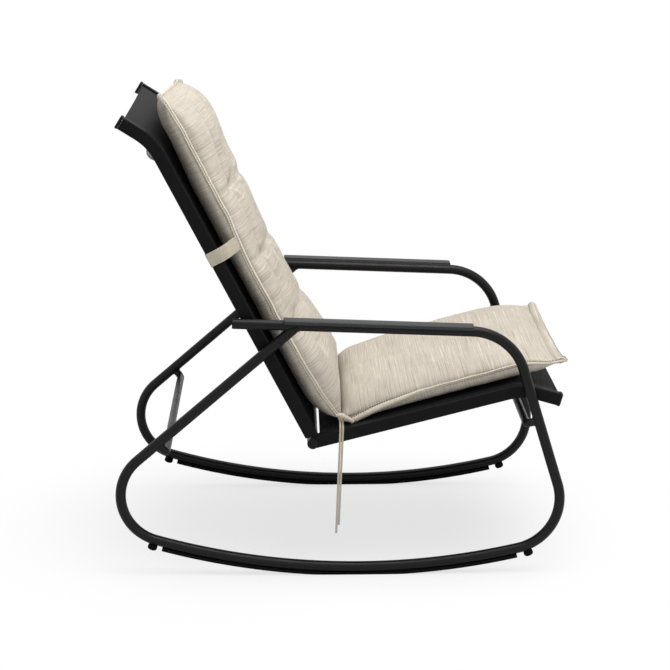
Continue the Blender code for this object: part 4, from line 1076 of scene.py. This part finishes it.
class CHAIR_OT_slings(bpy.types.Operator):
    """Back and seat sling, stretched between the rails with round hems in their grooves"""
    bl_idname = "chair.slings"
    bl_label = "Slings"

    def execute(self, context):
        k = chair_lines(context.scene)
        r = k.r
        bore = k.rail_in + r.groove_deep
        half = r.sling / 2
        lip = math.asin(half / r.hem)
        turn = np.linspace(lip, math.tau - lip, 13)
        across = np.linspace(1.0, -1.0, 41)[1:-1]
        halves = []
        for side in (1.0, -1.0):
            halves.append(pairs(k.sling_a + side * r.hem * np.sin(turn),
                                side * (bore - r.hem * np.cos(turn))))
            halves.append(pairs(k.sling_a - side * half, side * k.rail_in * across))
        section = np.concatenate(halves)
        for part, path, start, dip in (("back", k.back_path, 0.006, r.hem_dip),
                                       ("seat", k.seat_path, 0.012, 0.0)):
            points, normals = (p.copy() for p in path)
            points[0] += unit(points[1] - points[0]) * start
            back = unit(points[-2] - points[-1])
            points[-1] += back * 0.0015
            grid = sweep((points, normals), 0.0, section)
            hollow = dip * np.maximum(0.0, 1.0 - (section[:, 1] / k.rail_in) ** 2)
            run_length = float(travelled(points)[-1])
            tail = ramp(travelled(points), run_length - 0.035, 0.035)
            grid[..., ::2] += (tail[:, None] * hollow)[..., None] * back
            item = surface(part + "_sling_cloth", k, grid, "sling_weave", [part + "_sling"])
        return {"FINISHED"}


class CHAIR_OT_fasteners(bpy.types.Operator):
    """Bolt heads with hexagon sockets, and finishes for washers, inserts and rods"""
    bl_idname = "chair.fasteners"
    bl_label = "Fasteners"

    def execute(self, context):
        k = chair_lines(context.scene)
        bolt, head = k.r.bolt, k.r.bolt_head
        turn = np.linspace(0.0, math.tau, 48, endpoint=False)
        hexagon = 0.0025 / np.cos(np.mod(turn, math.pi / 3) - math.pi / 6)
        rows = ((-0.0016, hexagon * 0.98), (-0.0037, hexagon), (-0.0038, hexagon * 1.08),
                (-0.0036, head * 0.8), (-0.0028, head * 0.95), (-0.0018, head), (-0.0001, head),
                (0.0, bolt), (0.0305, bolt))
        s = np.array([row[0] for row in rows])[:, None]
        radius = np.stack([np.broadcast_to(row[1], turn.shape) for row in rows])
        for side_name, side in SIDES:
            for part, spot in (("back", k.back_bolt), ("seat", k.seat_bolt)):
                grid = xyz(spot + radius[..., None] * heading(turn), side * (k.rail_in - 0.0003 + s))
                tail = part + "_" + side_name
                surface("socket_bolt_" + tail, k, grid, "bolt_steel",
                        ["frame_bolt_" + tail], sharp=25.0)
        for name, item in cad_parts.items():
            for start, look in (("threaded_insert", "bolt_steel"), ("spacer_washer", "cap_plastic"),
                                ("back_sling_rod", "rod_plastic"), ("seat_sling_rod", "rod_plastic")):
                if name.startswith(start):
                    item.data.materials.clear()
                    item.data.materials.append(finish(look))
        return {"FINISHED"}


# Cushion

def rounded(far, reach, power):
    """Rise from 0 at an end to 1 at reach behind it, as a quarter of a superellipse."""
    return np.sqrt(np.maximum(0.0, 1.0 - (1.0 - np.clip(far / reach, 0.0, 1.0)) ** power))


def hump(t, width):
    """Bell curve of a given half width."""
    return np.exp(-(t / width) ** 2)


def crease(t, width):
    """Sharp valley of a given half width, softened at its very bottom."""
    return np.exp(1.0 - np.sqrt(1.0 + (t / width) ** 2 * 4.0))


def smooth(t):
    """Soft step from 0 to 1."""
    return t ** 2 * (3.0 - 2.0 * t)


def drift(x, y, seed):
    """Slow uneven wave between -1 and 1: a sum of sines whose phases come from a seed."""
    phase = np.random.default_rng(seed).uniform(0.0, math.tau, 6)
    out = 0.0
    for (along, across, share), start in zip(DRIFT, phase):
        out = out + share * np.sin(along * x + across * y + start)
    return out / 5.0


def pucker(along, y, turn, high, pace, seed):
    """Small gathers beside a seam: an uneven wave along it that fades out towards the pad's face."""
    return high * np.sin(along * pace + 2.0 * drift(along, y, seed)) * ramp(np.abs(turn), 0.9, 0.7)


def spread(count, ease):
    """Values from -1 to 1 that crowd towards both ends."""
    t = np.linspace(-1.0, 1.0, count)
    return ease * np.sin(t * math.pi / 2) + (1.0 - ease) * t


def girth(count, tuck):
    """Share of the half width, and the turn from the middle of a pad's face round its side to its seam."""
    v = np.linspace(-1.0, 1.0, count)
    a = np.abs(v)
    flat = 0.90 * a / 0.75
    start = math.asin(0.90 ** 2)
    side = start + (a - 0.75) / 0.25 * (math.radians(tuck) - start)
    turn = np.where(a < 0.75, np.arcsin(np.minimum(flat, 1.0) ** 2), side)
    return np.sign(v) * np.sqrt(np.sin(turn)), turn


def side_lift(turn, power):
    """Height of a pad's face over its seam, from 1 in the middle to 0 at the seam, full round the side."""
    rise = np.sign(np.cos(turn)) * np.abs(np.cos(turn)) ** power
    return (rise - rise[0]) / (1.0 - rise[0])


def pillow(name, k, front, rear, nodes):
    """Closed pad from a front and a rear grid that share their rim."""
    front, rear = front + k.shift, rear + k.shift
    rows, cols = front.shape[:2]
    a = np.arange(rows * cols).reshape(rows, cols)
    b = a.copy()
    b[1:-1, 1:-1] = rows * cols + np.arange((rows - 2) * (cols - 2)).reshape(rows - 2, cols - 2)
    points = np.concatenate([front.reshape(-1, 3), rear[1:-1, 1:-1].reshape(-1, 3)])
    faces, uv = [], []
    far = np.broadcast_to(travelled(front[:, cols // 2])[:, None], (rows, cols))
    start, end = slice(None, -1), slice(1, None)
    for index, grid, flip, shift in ((a, front, 1, 0.0), (b, rear, -1, 0.9)):
        wide = summed(np.linalg.norm(np.diff(grid, axis=1), axis=-1))
        wide = wide - wide[:, cols // 2, None] + shift
        ring = ((start, start), (end, start), (end, end), (start, end))[::flip]
        faces.append(np.stack([index[w] for w in ring], axis=-1).reshape(-1, 4))
        uv.append(np.stack([pairs(far[w], wide[w]) for w in ring], axis=-2).reshape(-1, 4, 2))
    return put(name, points, faces, uv, "cushion_cloth", nodes, 80.0)


def fill_out(item, held, side, fold):
    """Cloth filled by pressure: sewn points are held, moves have a limit, and no point passes the fold."""
    mesh = item.data
    rest = np.empty(len(mesh.vertices) * 3, np.float32)
    mesh.vertices.foreach_get("co", rest)
    rest = rest.reshape(-1, 3).astype(float)
    points = rest
    group = item.vertex_groups.new(name="sewn")
    group.add(np.flatnonzero(held).tolist(), 1.0, "REPLACE")
    cloth = item.modifiers.new("fill", "CLOTH")
    for key, value in CLOTH.items():
        setattr(cloth.settings, key, value)
    cloth.settings.effector_weights.gravity = 0.0
    cloth.collision_settings.use_collision = False
    cloth.collision_settings.use_self_collision = False
    scene = bpy.context.scene
    for step in range(1, FILL_FRAMES + 1):
        scene.frame_set(step)
    graph = bpy.context.evaluated_depsgraph_get()
    shaped = item.evaluated_get(graph).to_mesh()
    moved = np.empty(len(rest) * 3, np.float32)
    shaped.vertices.foreach_get("co", moved)
    item.evaluated_get(graph).to_mesh_clear()
    item.modifiers.remove(cloth)
    item.vertex_groups.remove(group)
    scene.frame_set(1)
    move = moved.reshape(-1, 3).astype(float) - rest
    size = np.linalg.norm(move, axis=-1, keepdims=True)
    points = rest + move * np.minimum(1.0, FILL_MOST / np.maximum(size, 1e-9))
    points[:, 0] = side * np.maximum(side * points[:, 0], fold)
    mesh.vertices.foreach_set("co", points.astype(np.float32).reshape(-1))
    mesh.update()
    finer = item.modifiers.new("smooth", "SUBSURF")
    finer.levels = 1
    finer.render_levels = 1


def rim(grid):
    """Points once round the edge of a grid."""
    return np.concatenate([grid[0, :-1], grid[:-1, -1], grid[-1, :0:-1], grid[:0:-1, 0]])


def sewn(shape, tufts):
    """Points that the sewing holds: the rim, the tufts and the whole resting face."""
    edge = np.zeros(shape, bool)
    edge[[0, -1]] = True
    edge[:, [0, -1]] = True
    return np.concatenate([(edge | tufts).reshape(-1), np.ones((shape[0] - 2) * (shape[1] - 2), bool)])


def stuffed(name, k, node, plane, side, s, y, faces, held):
    """Pad with two faces over a plane (origin, way, normal), kept to one side of the fold; and its rim."""
    origin, way, normal = plane
    fold = side * k.c.join + k.c.join_gap / 2
    grids = []
    for depth in faces:
        grid = xyz(origin + s[..., None] * way + depth[..., None] * normal, y)
        grid[..., 0] = side * np.maximum(side * grid[..., 0], fold)
        grids.append(grid)
    item = pillow(name, k, *grids, [node])
    fill_out(item, sewn(s.shape, held), side, fold + side * k.shift[0])
    return item, rim(grids[0])


def inside(k, ring, plane, low, high, depth):
    """How far along a pad its rim's points lie, and points further in that its welt turns away from."""
    origin, way, normal = plane
    far = (ring[:, [0, 2]] - origin) @ way
    centre = origin + np.multiply.outer(np.clip(far, low + 0.03, high - 0.04), way) + depth * normal
    half = 0.9 * k.c.half
    return far, xyz(centre, np.clip(ring[:, 1], -half, half))


def welt(name, k, edge, inner, width, thick, cleft):
    """Sewn welt along a closed edge: an oval with a groove down its outer side, and rows of stitches."""
    way = unit(np.roll(edge, -1, axis=0) - np.roll(edge, 1, axis=0))
    out = edge - inner
    out = unit(out - way * np.sum(out * way, axis=-1, keepdims=True))
    for turn in range(6):
        out = unit(out + np.roll(out, 1, axis=0) + np.roll(out, -1, axis=0))
    up = np.cross(way, out)
    ring = circle(1.0, 26)
    groove = hump(ring[:, 1], 0.24) * (ring[:, 0] > 0.0)
    reach = ring[:, :1] * width[:, None, None] / 2 - WELT_GROOVE * groove[:, None] * cleft[:, None, None]
    middle = edge + out * (width[:, None] / 2 - WELT_LAP)
    grid = middle[:, None] + reach * out[:, None] + ring[:, 1:] * up[:, None] * thick[:, None, None] / 2
    # The welt's cloth is the cushion cloth painted paler: painted highlight where the welt catches light
    surface(name, k, grid, "piping_cloth", looped=True, sharp=80.0)
    stitch = k.c.stitch
    far = travelled(np.concatenate([edge, edge[:1]]))
    at = np.linspace(0.0, far[-1], int(far[-1] / stitch), endpoint=False)

    def along(values):
        whole = np.concatenate([values, values[:1]])
        columns = [np.interp(at, far, whole[:, i]) for i in range(values.shape[1])]
        return np.stack(columns, axis=-1)[:, None, None]

    way, out, up, edge = unit(along(way)), unit(along(out)), unit(along(up)), along(edge)
    width, thick = along(width[:, None]), along(thick[:, None])
    turn = np.linspace(0.0, math.pi, 5)[None, :, None, None]
    small = circle(1.0, 6)[None, None]
    thin = 0.0009 * np.sin(turn) + 0.00005
    grids = []
    for share, lift in SEAM_ROWS:
        base = edge + out * (width * share - WELT_LAP) + up * (lift * thick)
        grids.append(base - 0.36 * stitch * np.cos(turn) * way + thin * small[..., :1] * up
                     + 1.3 * thin * small[..., 1:] * out)
    surface(name + "_stitches", k, np.concatenate(grids), "seam_thread")


class CHAIR_OT_back_cushion(bpy.types.Operator):
    """Tufted back pad: crowned front, flat rear, filled by pressure between its seams and tufts"""
    bl_idname = "chair.back_cushion"
    bl_label = "Back Cushion"

    def execute(self, context):
        k = chair_lines(context.scene)
        c = k.c
        # Rows up the pad crowd towards its ends, columns run round its sides
        u = (0.5 + 0.5 * spread(134, 0.45))[:, None]
        share, turn = girth(81, 104.0)
        v = share[None] / share[-1]
        top = c.back_end - c.back_skew * v - c.back_dip * (1.0 - v ** 2)
        s = c.back_start + (top - c.back_start) * u - 0.002 * u ** 12 * np.abs(v) ** 10
        # The sides draw in towards both ends and waver a little
        head = ramp(u, 0.88, 0.12) ** 2
        y = c.half * share * (1.0 - 0.012 * (2.0 * u - 1.0) ** 6 - 0.03 * head)
        y = y - 0.0014 * share * drift(s, 0.0, 3)
        # The seam stands forward at the fold and in the upper half, and falls back at the head
        seam = c.back_seam + 0.0075 * smooth(ramp(s, 0.66, 0.14)) + 0.0145 * np.exp(-(s - 0.3126) / 0.07)
        seam = seam - 0.0085 * head + 0.0011 * drift(s, 0.3 * share, 5) - 0.003 * v * u ** 6
        # The crown swells into one pillow at the head and one above the seat
        crown = c.back_crown * (0.92 + 0.08 * (1.0 - share * share)) + c.head_swell * hump(s - 0.955, 0.07)
        crown = crown + c.low_swell * hump(s - 0.415, 0.075) + 0.0016 * drift(s, y, 7)
        depth, held = self.tufts(c, s, y)
        # The upper corners thin out, and the rear face rounds off along the head
        low, high = s - c.back_start, np.maximum(top - s, 0.0)
        ear = 1.0 - 0.88 * hump(np.hypot(high, 0.95 * c.half - np.abs(y)), 0.032)
        corner = hump(0.97 * c.half - np.abs(y), 0.035)
        swell = rounded(low, 0.032, 2.4) * rounded(high, 0.062, 2.1) * side_lift(turn, 0.9) * ear
        front = seam + swell * (crown - depth + pucker(s, y, turn, 0.0014, 285.0, 9))
        sole = rounded(high - 0.022 * corner, 0.06, 2.2) + 0.35 * corner * hump(high - 0.011, 0.010)
        sole = sole * rounded(low, 0.07, 2.0) * side_lift(turn, 1.0) * (1.0 - 0.16 * ramp(s, 0.86, 0.1))
        rear = seam - sole * (seam - k.rest)
        plane = (k.back_q, k.back_u, k.back_n)
        item, ring = stuffed("back_cushion_cover", k, "back_cushion", plane, -1.0, s, y, (front, rear), held)
        far, inner = inside(k, ring, plane, c.back_start, c.back_end, c.back_seam + 0.004)
        # The welt is narrower along the head, between the corners
        even = np.ones(len(ring))
        upper = ramp(far, c.back_end - 0.030, 0.02) * ramp(np.abs(ring[:, 1]) / c.half, 0.88, -0.1)
        width = c.welt * (1.0 - 0.6 * upper)
        welt("back_cushion_welt", k, ring, inner, width, c.welt_thick * even, even)
        for name, way, below, deep, at, size in EARS:
            self.ear(k, name, (c.back_end + way * c.back_skew - below, deep), at, size)
        return {"FINISHED"}

    def ear(self, k, name, place, y, size):
        """Sewn corner tab: an uneven ball, drawn out along the back's depth, its length and its width."""
        turn = np.linspace(0.12, math.pi - 0.12, 16)[:, None]
        ring = circle(1.0, 24)
        lump = 1.0 + 0.16 * drift(0.02 * ring[:, 0], 0.05 * turn, 31)
        deep = size[0] * np.sin(turn) * ring[:, 0] * lump
        wide = size[2] * np.sin(turn) * ring[:, 1] * lump
        side = on_back(k, place[0] + size[1] * np.cos(turn) * np.ones(len(ring)), place[1] + deep)
        surface("back_cushion_ear_" + name, k, xyz(side, y + wide), "cushion_cloth", sharp=80.0)

    def tufts(self, c, s, y):
        """Depth of the sewn tufts, creases along their rows and columns, and folds fanning out of each."""
        depth = np.zeros(s.shape)
        held = np.zeros(s.shape, bool)
        last = c.tuft_first - (TUFT_ROWS - 1) * c.tuft_pitch
        ends = ramp(s, last - 0.10, 0.07) * ramp(s, c.tuft_first + 0.13, -0.07)
        columns = (-c.tuft_half, c.tuft_half)
        for column in columns:
            bent = y - column + 0.003 * drift(s, 0.0, 23)
            depth += COLUMN_CREASE[0] * crease(bent, COLUMN_CREASE[1]) * ends
        near = 0.62 + 0.38 * hump(np.abs(y) - c.tuft_half, 0.07)
        for row in range(TUFT_ROWS):
            a = s - (c.tuft_first - row * c.tuft_pitch - TUFT_FALL * y)
            bent = a + 0.003 * drift(y, 0.0, 27 + row)
            depth += ROW_CREASE[0] * crease(bent, ROW_CREASE[1]) * near
            for column in columns:
                b = y - column
                far = np.hypot(a, b)
                turn = np.arctan2(a, b)
                depth += (c.tuft_deep - 0.006) * np.exp(-far / 0.015)
                folds = np.cos(5.0 * turn + 1.3 * row + 4.0 * column) + 0.6 * np.cos(8.0 * turn + 2.1 * row)
                depth += FOLD_HIGH * folds * hump(far - FOLD_FAR, FOLD_SPREAD)
                held |= far < TUFT_SPOT
        return depth, held


class CHAIR_OT_seat_cushion(bpy.types.Operator):
    """Seat pad: crowned top, flat underside, blunt at the fold and with a rolled flange in front"""
    bl_idname = "chair.seat_cushion"
    bl_label = "Seat Cushion"

    def execute(self, context):
        k = chair_lines(context.scene)
        c = k.c
        share, turn = girth(81, 107.0)
        first = k.seat_first
        line = c.seat_end - c.flange
        # Rows crowd at the fold and at the flange, whose edge is a little hollow
        rows = first + (line - 0.03 - first) * (1.0 - np.cos(np.linspace(0.0, math.pi / 2, 62))) ** 0.7
        rows = np.concatenate([rows, np.linspace(line - 0.0275, line, 16),
                               np.linspace(line, c.seat_end, 16)[1:]])
        u = ((rows - first) / (c.seat_end - first))[:, None]
        wave = 0.0030 * (1.0 - (share / share[-1]) ** 2) - 0.0012 * drift(0.0, share * c.half, 29)
        g = rows[:, None] - wave * ramp(u, 0.8, 0.2) ** 2
        # The sides draw in towards both ends and waver a little
        y = c.half * share * (1.0 - 0.012 * np.abs(2.0 * u - 1.0) ** 6)
        y = y - 0.0014 * share * drift(g, 0.0, 13)
        # The seam runs lower towards the fold
        seam = c.seat_seam - 0.0235 * np.exp(-np.maximum(g, 0.0) / 0.09)
        seam = seam + 0.0009 * drift(g, 0.3 * share, 15)
        low, high = g - first, line - rows[:, None] + 0.0 * share
        ear = 1.0 - 0.6 * hump(np.hypot(np.maximum(high, 0.0), c.half - np.abs(y)), 0.026)
        crown = (c.seat_top - seam) * (0.95 + 0.05 * (1.0 - share * share)) + 0.0016 * drift(g, y, 17)
        crown = crown + 0.0022 * hump(g - 0.388, 0.030)
        # The front droops, most in the middle and least at the left end
        droop = DROOP * smooth(ramp(g, DROOP_START, DROOP_SPAN))
        seam = seam - droop * (1.0 + 0.22 * (1.0 - share ** 2) - 0.10 * np.maximum(share, 0.0))
        crown = crown + pucker(g, y, turn, 0.0013, 270.0, 19)
        end = high - 0.0036 - 0.0036 * share ** 4
        lift = side_lift(turn, 0.9)
        swell = rounded(low, 0.045, 2.2) * rounded(end, 0.036, 2.0) * lift * ear * crown
        sole = rounded(low, 0.03, 2.4) * rounded(high + 0.004, 0.045, 2.0) * (0.4 + 0.6 * ear)
        sole = sole * side_lift(turn, 0.65) * (seam - k.rest)
        # The flange is a roll, thicker at its left end and at both corners
        lip = 1.15 + 0.4 * share + 0.4 * hump(y - 0.92 * c.half, 0.03) + 0.4 * hump(y + 0.95 * c.half, 0.03)
        lip = c.lip * lip * np.minimum(1.0, 5.0 * lift)
        lip = lip * np.maximum(0.0, np.sin(math.pi * ramp(-high, 0.0, c.flange))) ** 0.6
        faces = (seam + np.maximum(swell, lip), seam - np.maximum(sole, lip))
        flat = np.broadcast_to((rows > line - 0.001)[:, None], g.shape)
        plane = (k.seat_q, k.seat_u, k.seat_n)
        item, ring = stuffed("seat_cushion_cover", k, "seat_cushion", plane, 1.0, g, y, faces, flat)
        along, inner = inside(k, ring, plane, first, c.seat_end, c.seat_seam)
        far = along - first
        # The welt starts thin at the fold, is widest in front of it and thins out along the front
        front = ramp(ring[:, 1] / c.half, -0.94, 0.06) * ramp(along, line, 0.012)
        rear = ramp(far, 0.18, -0.10)
        start = 0.3 + 0.7 * ramp(far, 0.0, 0.022)
        tip = hump(along - c.seat_end, 0.020) * (ring[:, 1] < 0.0)
        width = (c.welt + 0.0065 * rear) * (1.0 - 0.85 * front) * start
        thick = c.seat_welt + (0.62 * c.welt_thick - c.seat_welt) * ramp(far, 0.09, 0.16)
        thick = thick * (1.0 - 0.55 * front) * start + 0.0025 * tip * (1.0 - front)
        welt("seat_cushion_welt", k, ring, inner, width, thick, ramp(far, 0.10, 0.12) * (1.0 - front))
        return {"FINISHED"}


class CHAIR_OT_strap(bpy.types.Operator):
    """Elastic strap from one side seam of the back pad round both rails to the other"""
    bl_idname = "chair.strap"
    bl_label = "Strap"

    def execute(self, context):
        k = chair_lines(context.scene)
        c, r = k.c, k.r
        skirt = c.strap_thick / 2 + STRAP_PLAY
        out = k.rail_out + skirt
        half = [(STRAP_SEAM_Y, c.back_seam + 0.002), (-(out - 0.0055), r.deep + 0.0145),
                (-out, r.deep + 0.001), (-out, 0.002), (-(out - 0.0001), 0.0001 - skirt),
                (-(out - 0.004), -skirt)]
        path = soft_path(half + [(-y, d) for y, d in half[::-1]], STRAP_EASE, 8)
        line = xyz(on_back(k, np.full(len(path), c.strap_at), path[:, 1]), path[:, 0])
        section = box_outline(c.strap_wide / 2, c.strap_thick / 2, 0.0005, 4)
        grid = ribbon(line, xyz(k.back_u, 0.0), section)
        surface("strap_tape", k, grid, "tape_weave", ["cushion_strap"])
        return {"FINISHED"}


class CHAIR_PT_pieces(bpy.types.Panel):
    """Lists the chair's pieces in the sidebar"""
    bl_idname = "CHAIR_PT_pieces"
    bl_label = "Rocking Chair"
    bl_space_type = "VIEW_3D"
    bl_region_type = "UI"
    bl_category = "Chair"

    def draw(self, context):
        for operator in OPERATORS:
            self.layout.operator(operator.bl_idname)


OPERATORS = (CHAIR_OT_stage, CHAIR_OT_ties, CHAIR_OT_side_frames, CHAIR_OT_arm_pads, CHAIR_OT_rocker_feet,
             CHAIR_OT_crossbars, CHAIR_OT_rails, CHAIR_OT_cross_tubes, CHAIR_OT_slings, CHAIR_OT_fasteners,
             CHAIR_OT_back_cushion, CHAIR_OT_seat_cushion, CHAIR_OT_strap)
GROUPS = (("chair_frame", ChairFrameSizes), ("chair_rails", ChairRailSizes),
          ("chair_cushion", ChairCushionSizes), ("chair_finishes", ChairFinishes))


def register():
    for name, group in GROUPS:
        bpy.utils.register_class(group)
        setattr(bpy.types.Scene, name, bpy.props.PointerProperty(type=group))
    for operator in OPERATORS:
        bpy.utils.register_class(operator)
    bpy.utils.register_class(CHAIR_PT_pieces)


def unregister():
    bpy.utils.unregister_class(CHAIR_PT_pieces)
    for operator in reversed(OPERATORS):
        bpy.utils.unregister_class(operator)
    for name, group in reversed(GROUPS):
        delattr(bpy.types.Scene, name)
        bpy.utils.unregister_class(group)


def main():
    register()
    for operator in OPERATORS:
        group, call = operator.bl_idname.split(".")
        getattr(getattr(bpy.ops, group), call)()


if __name__ == "__main__":
    main()
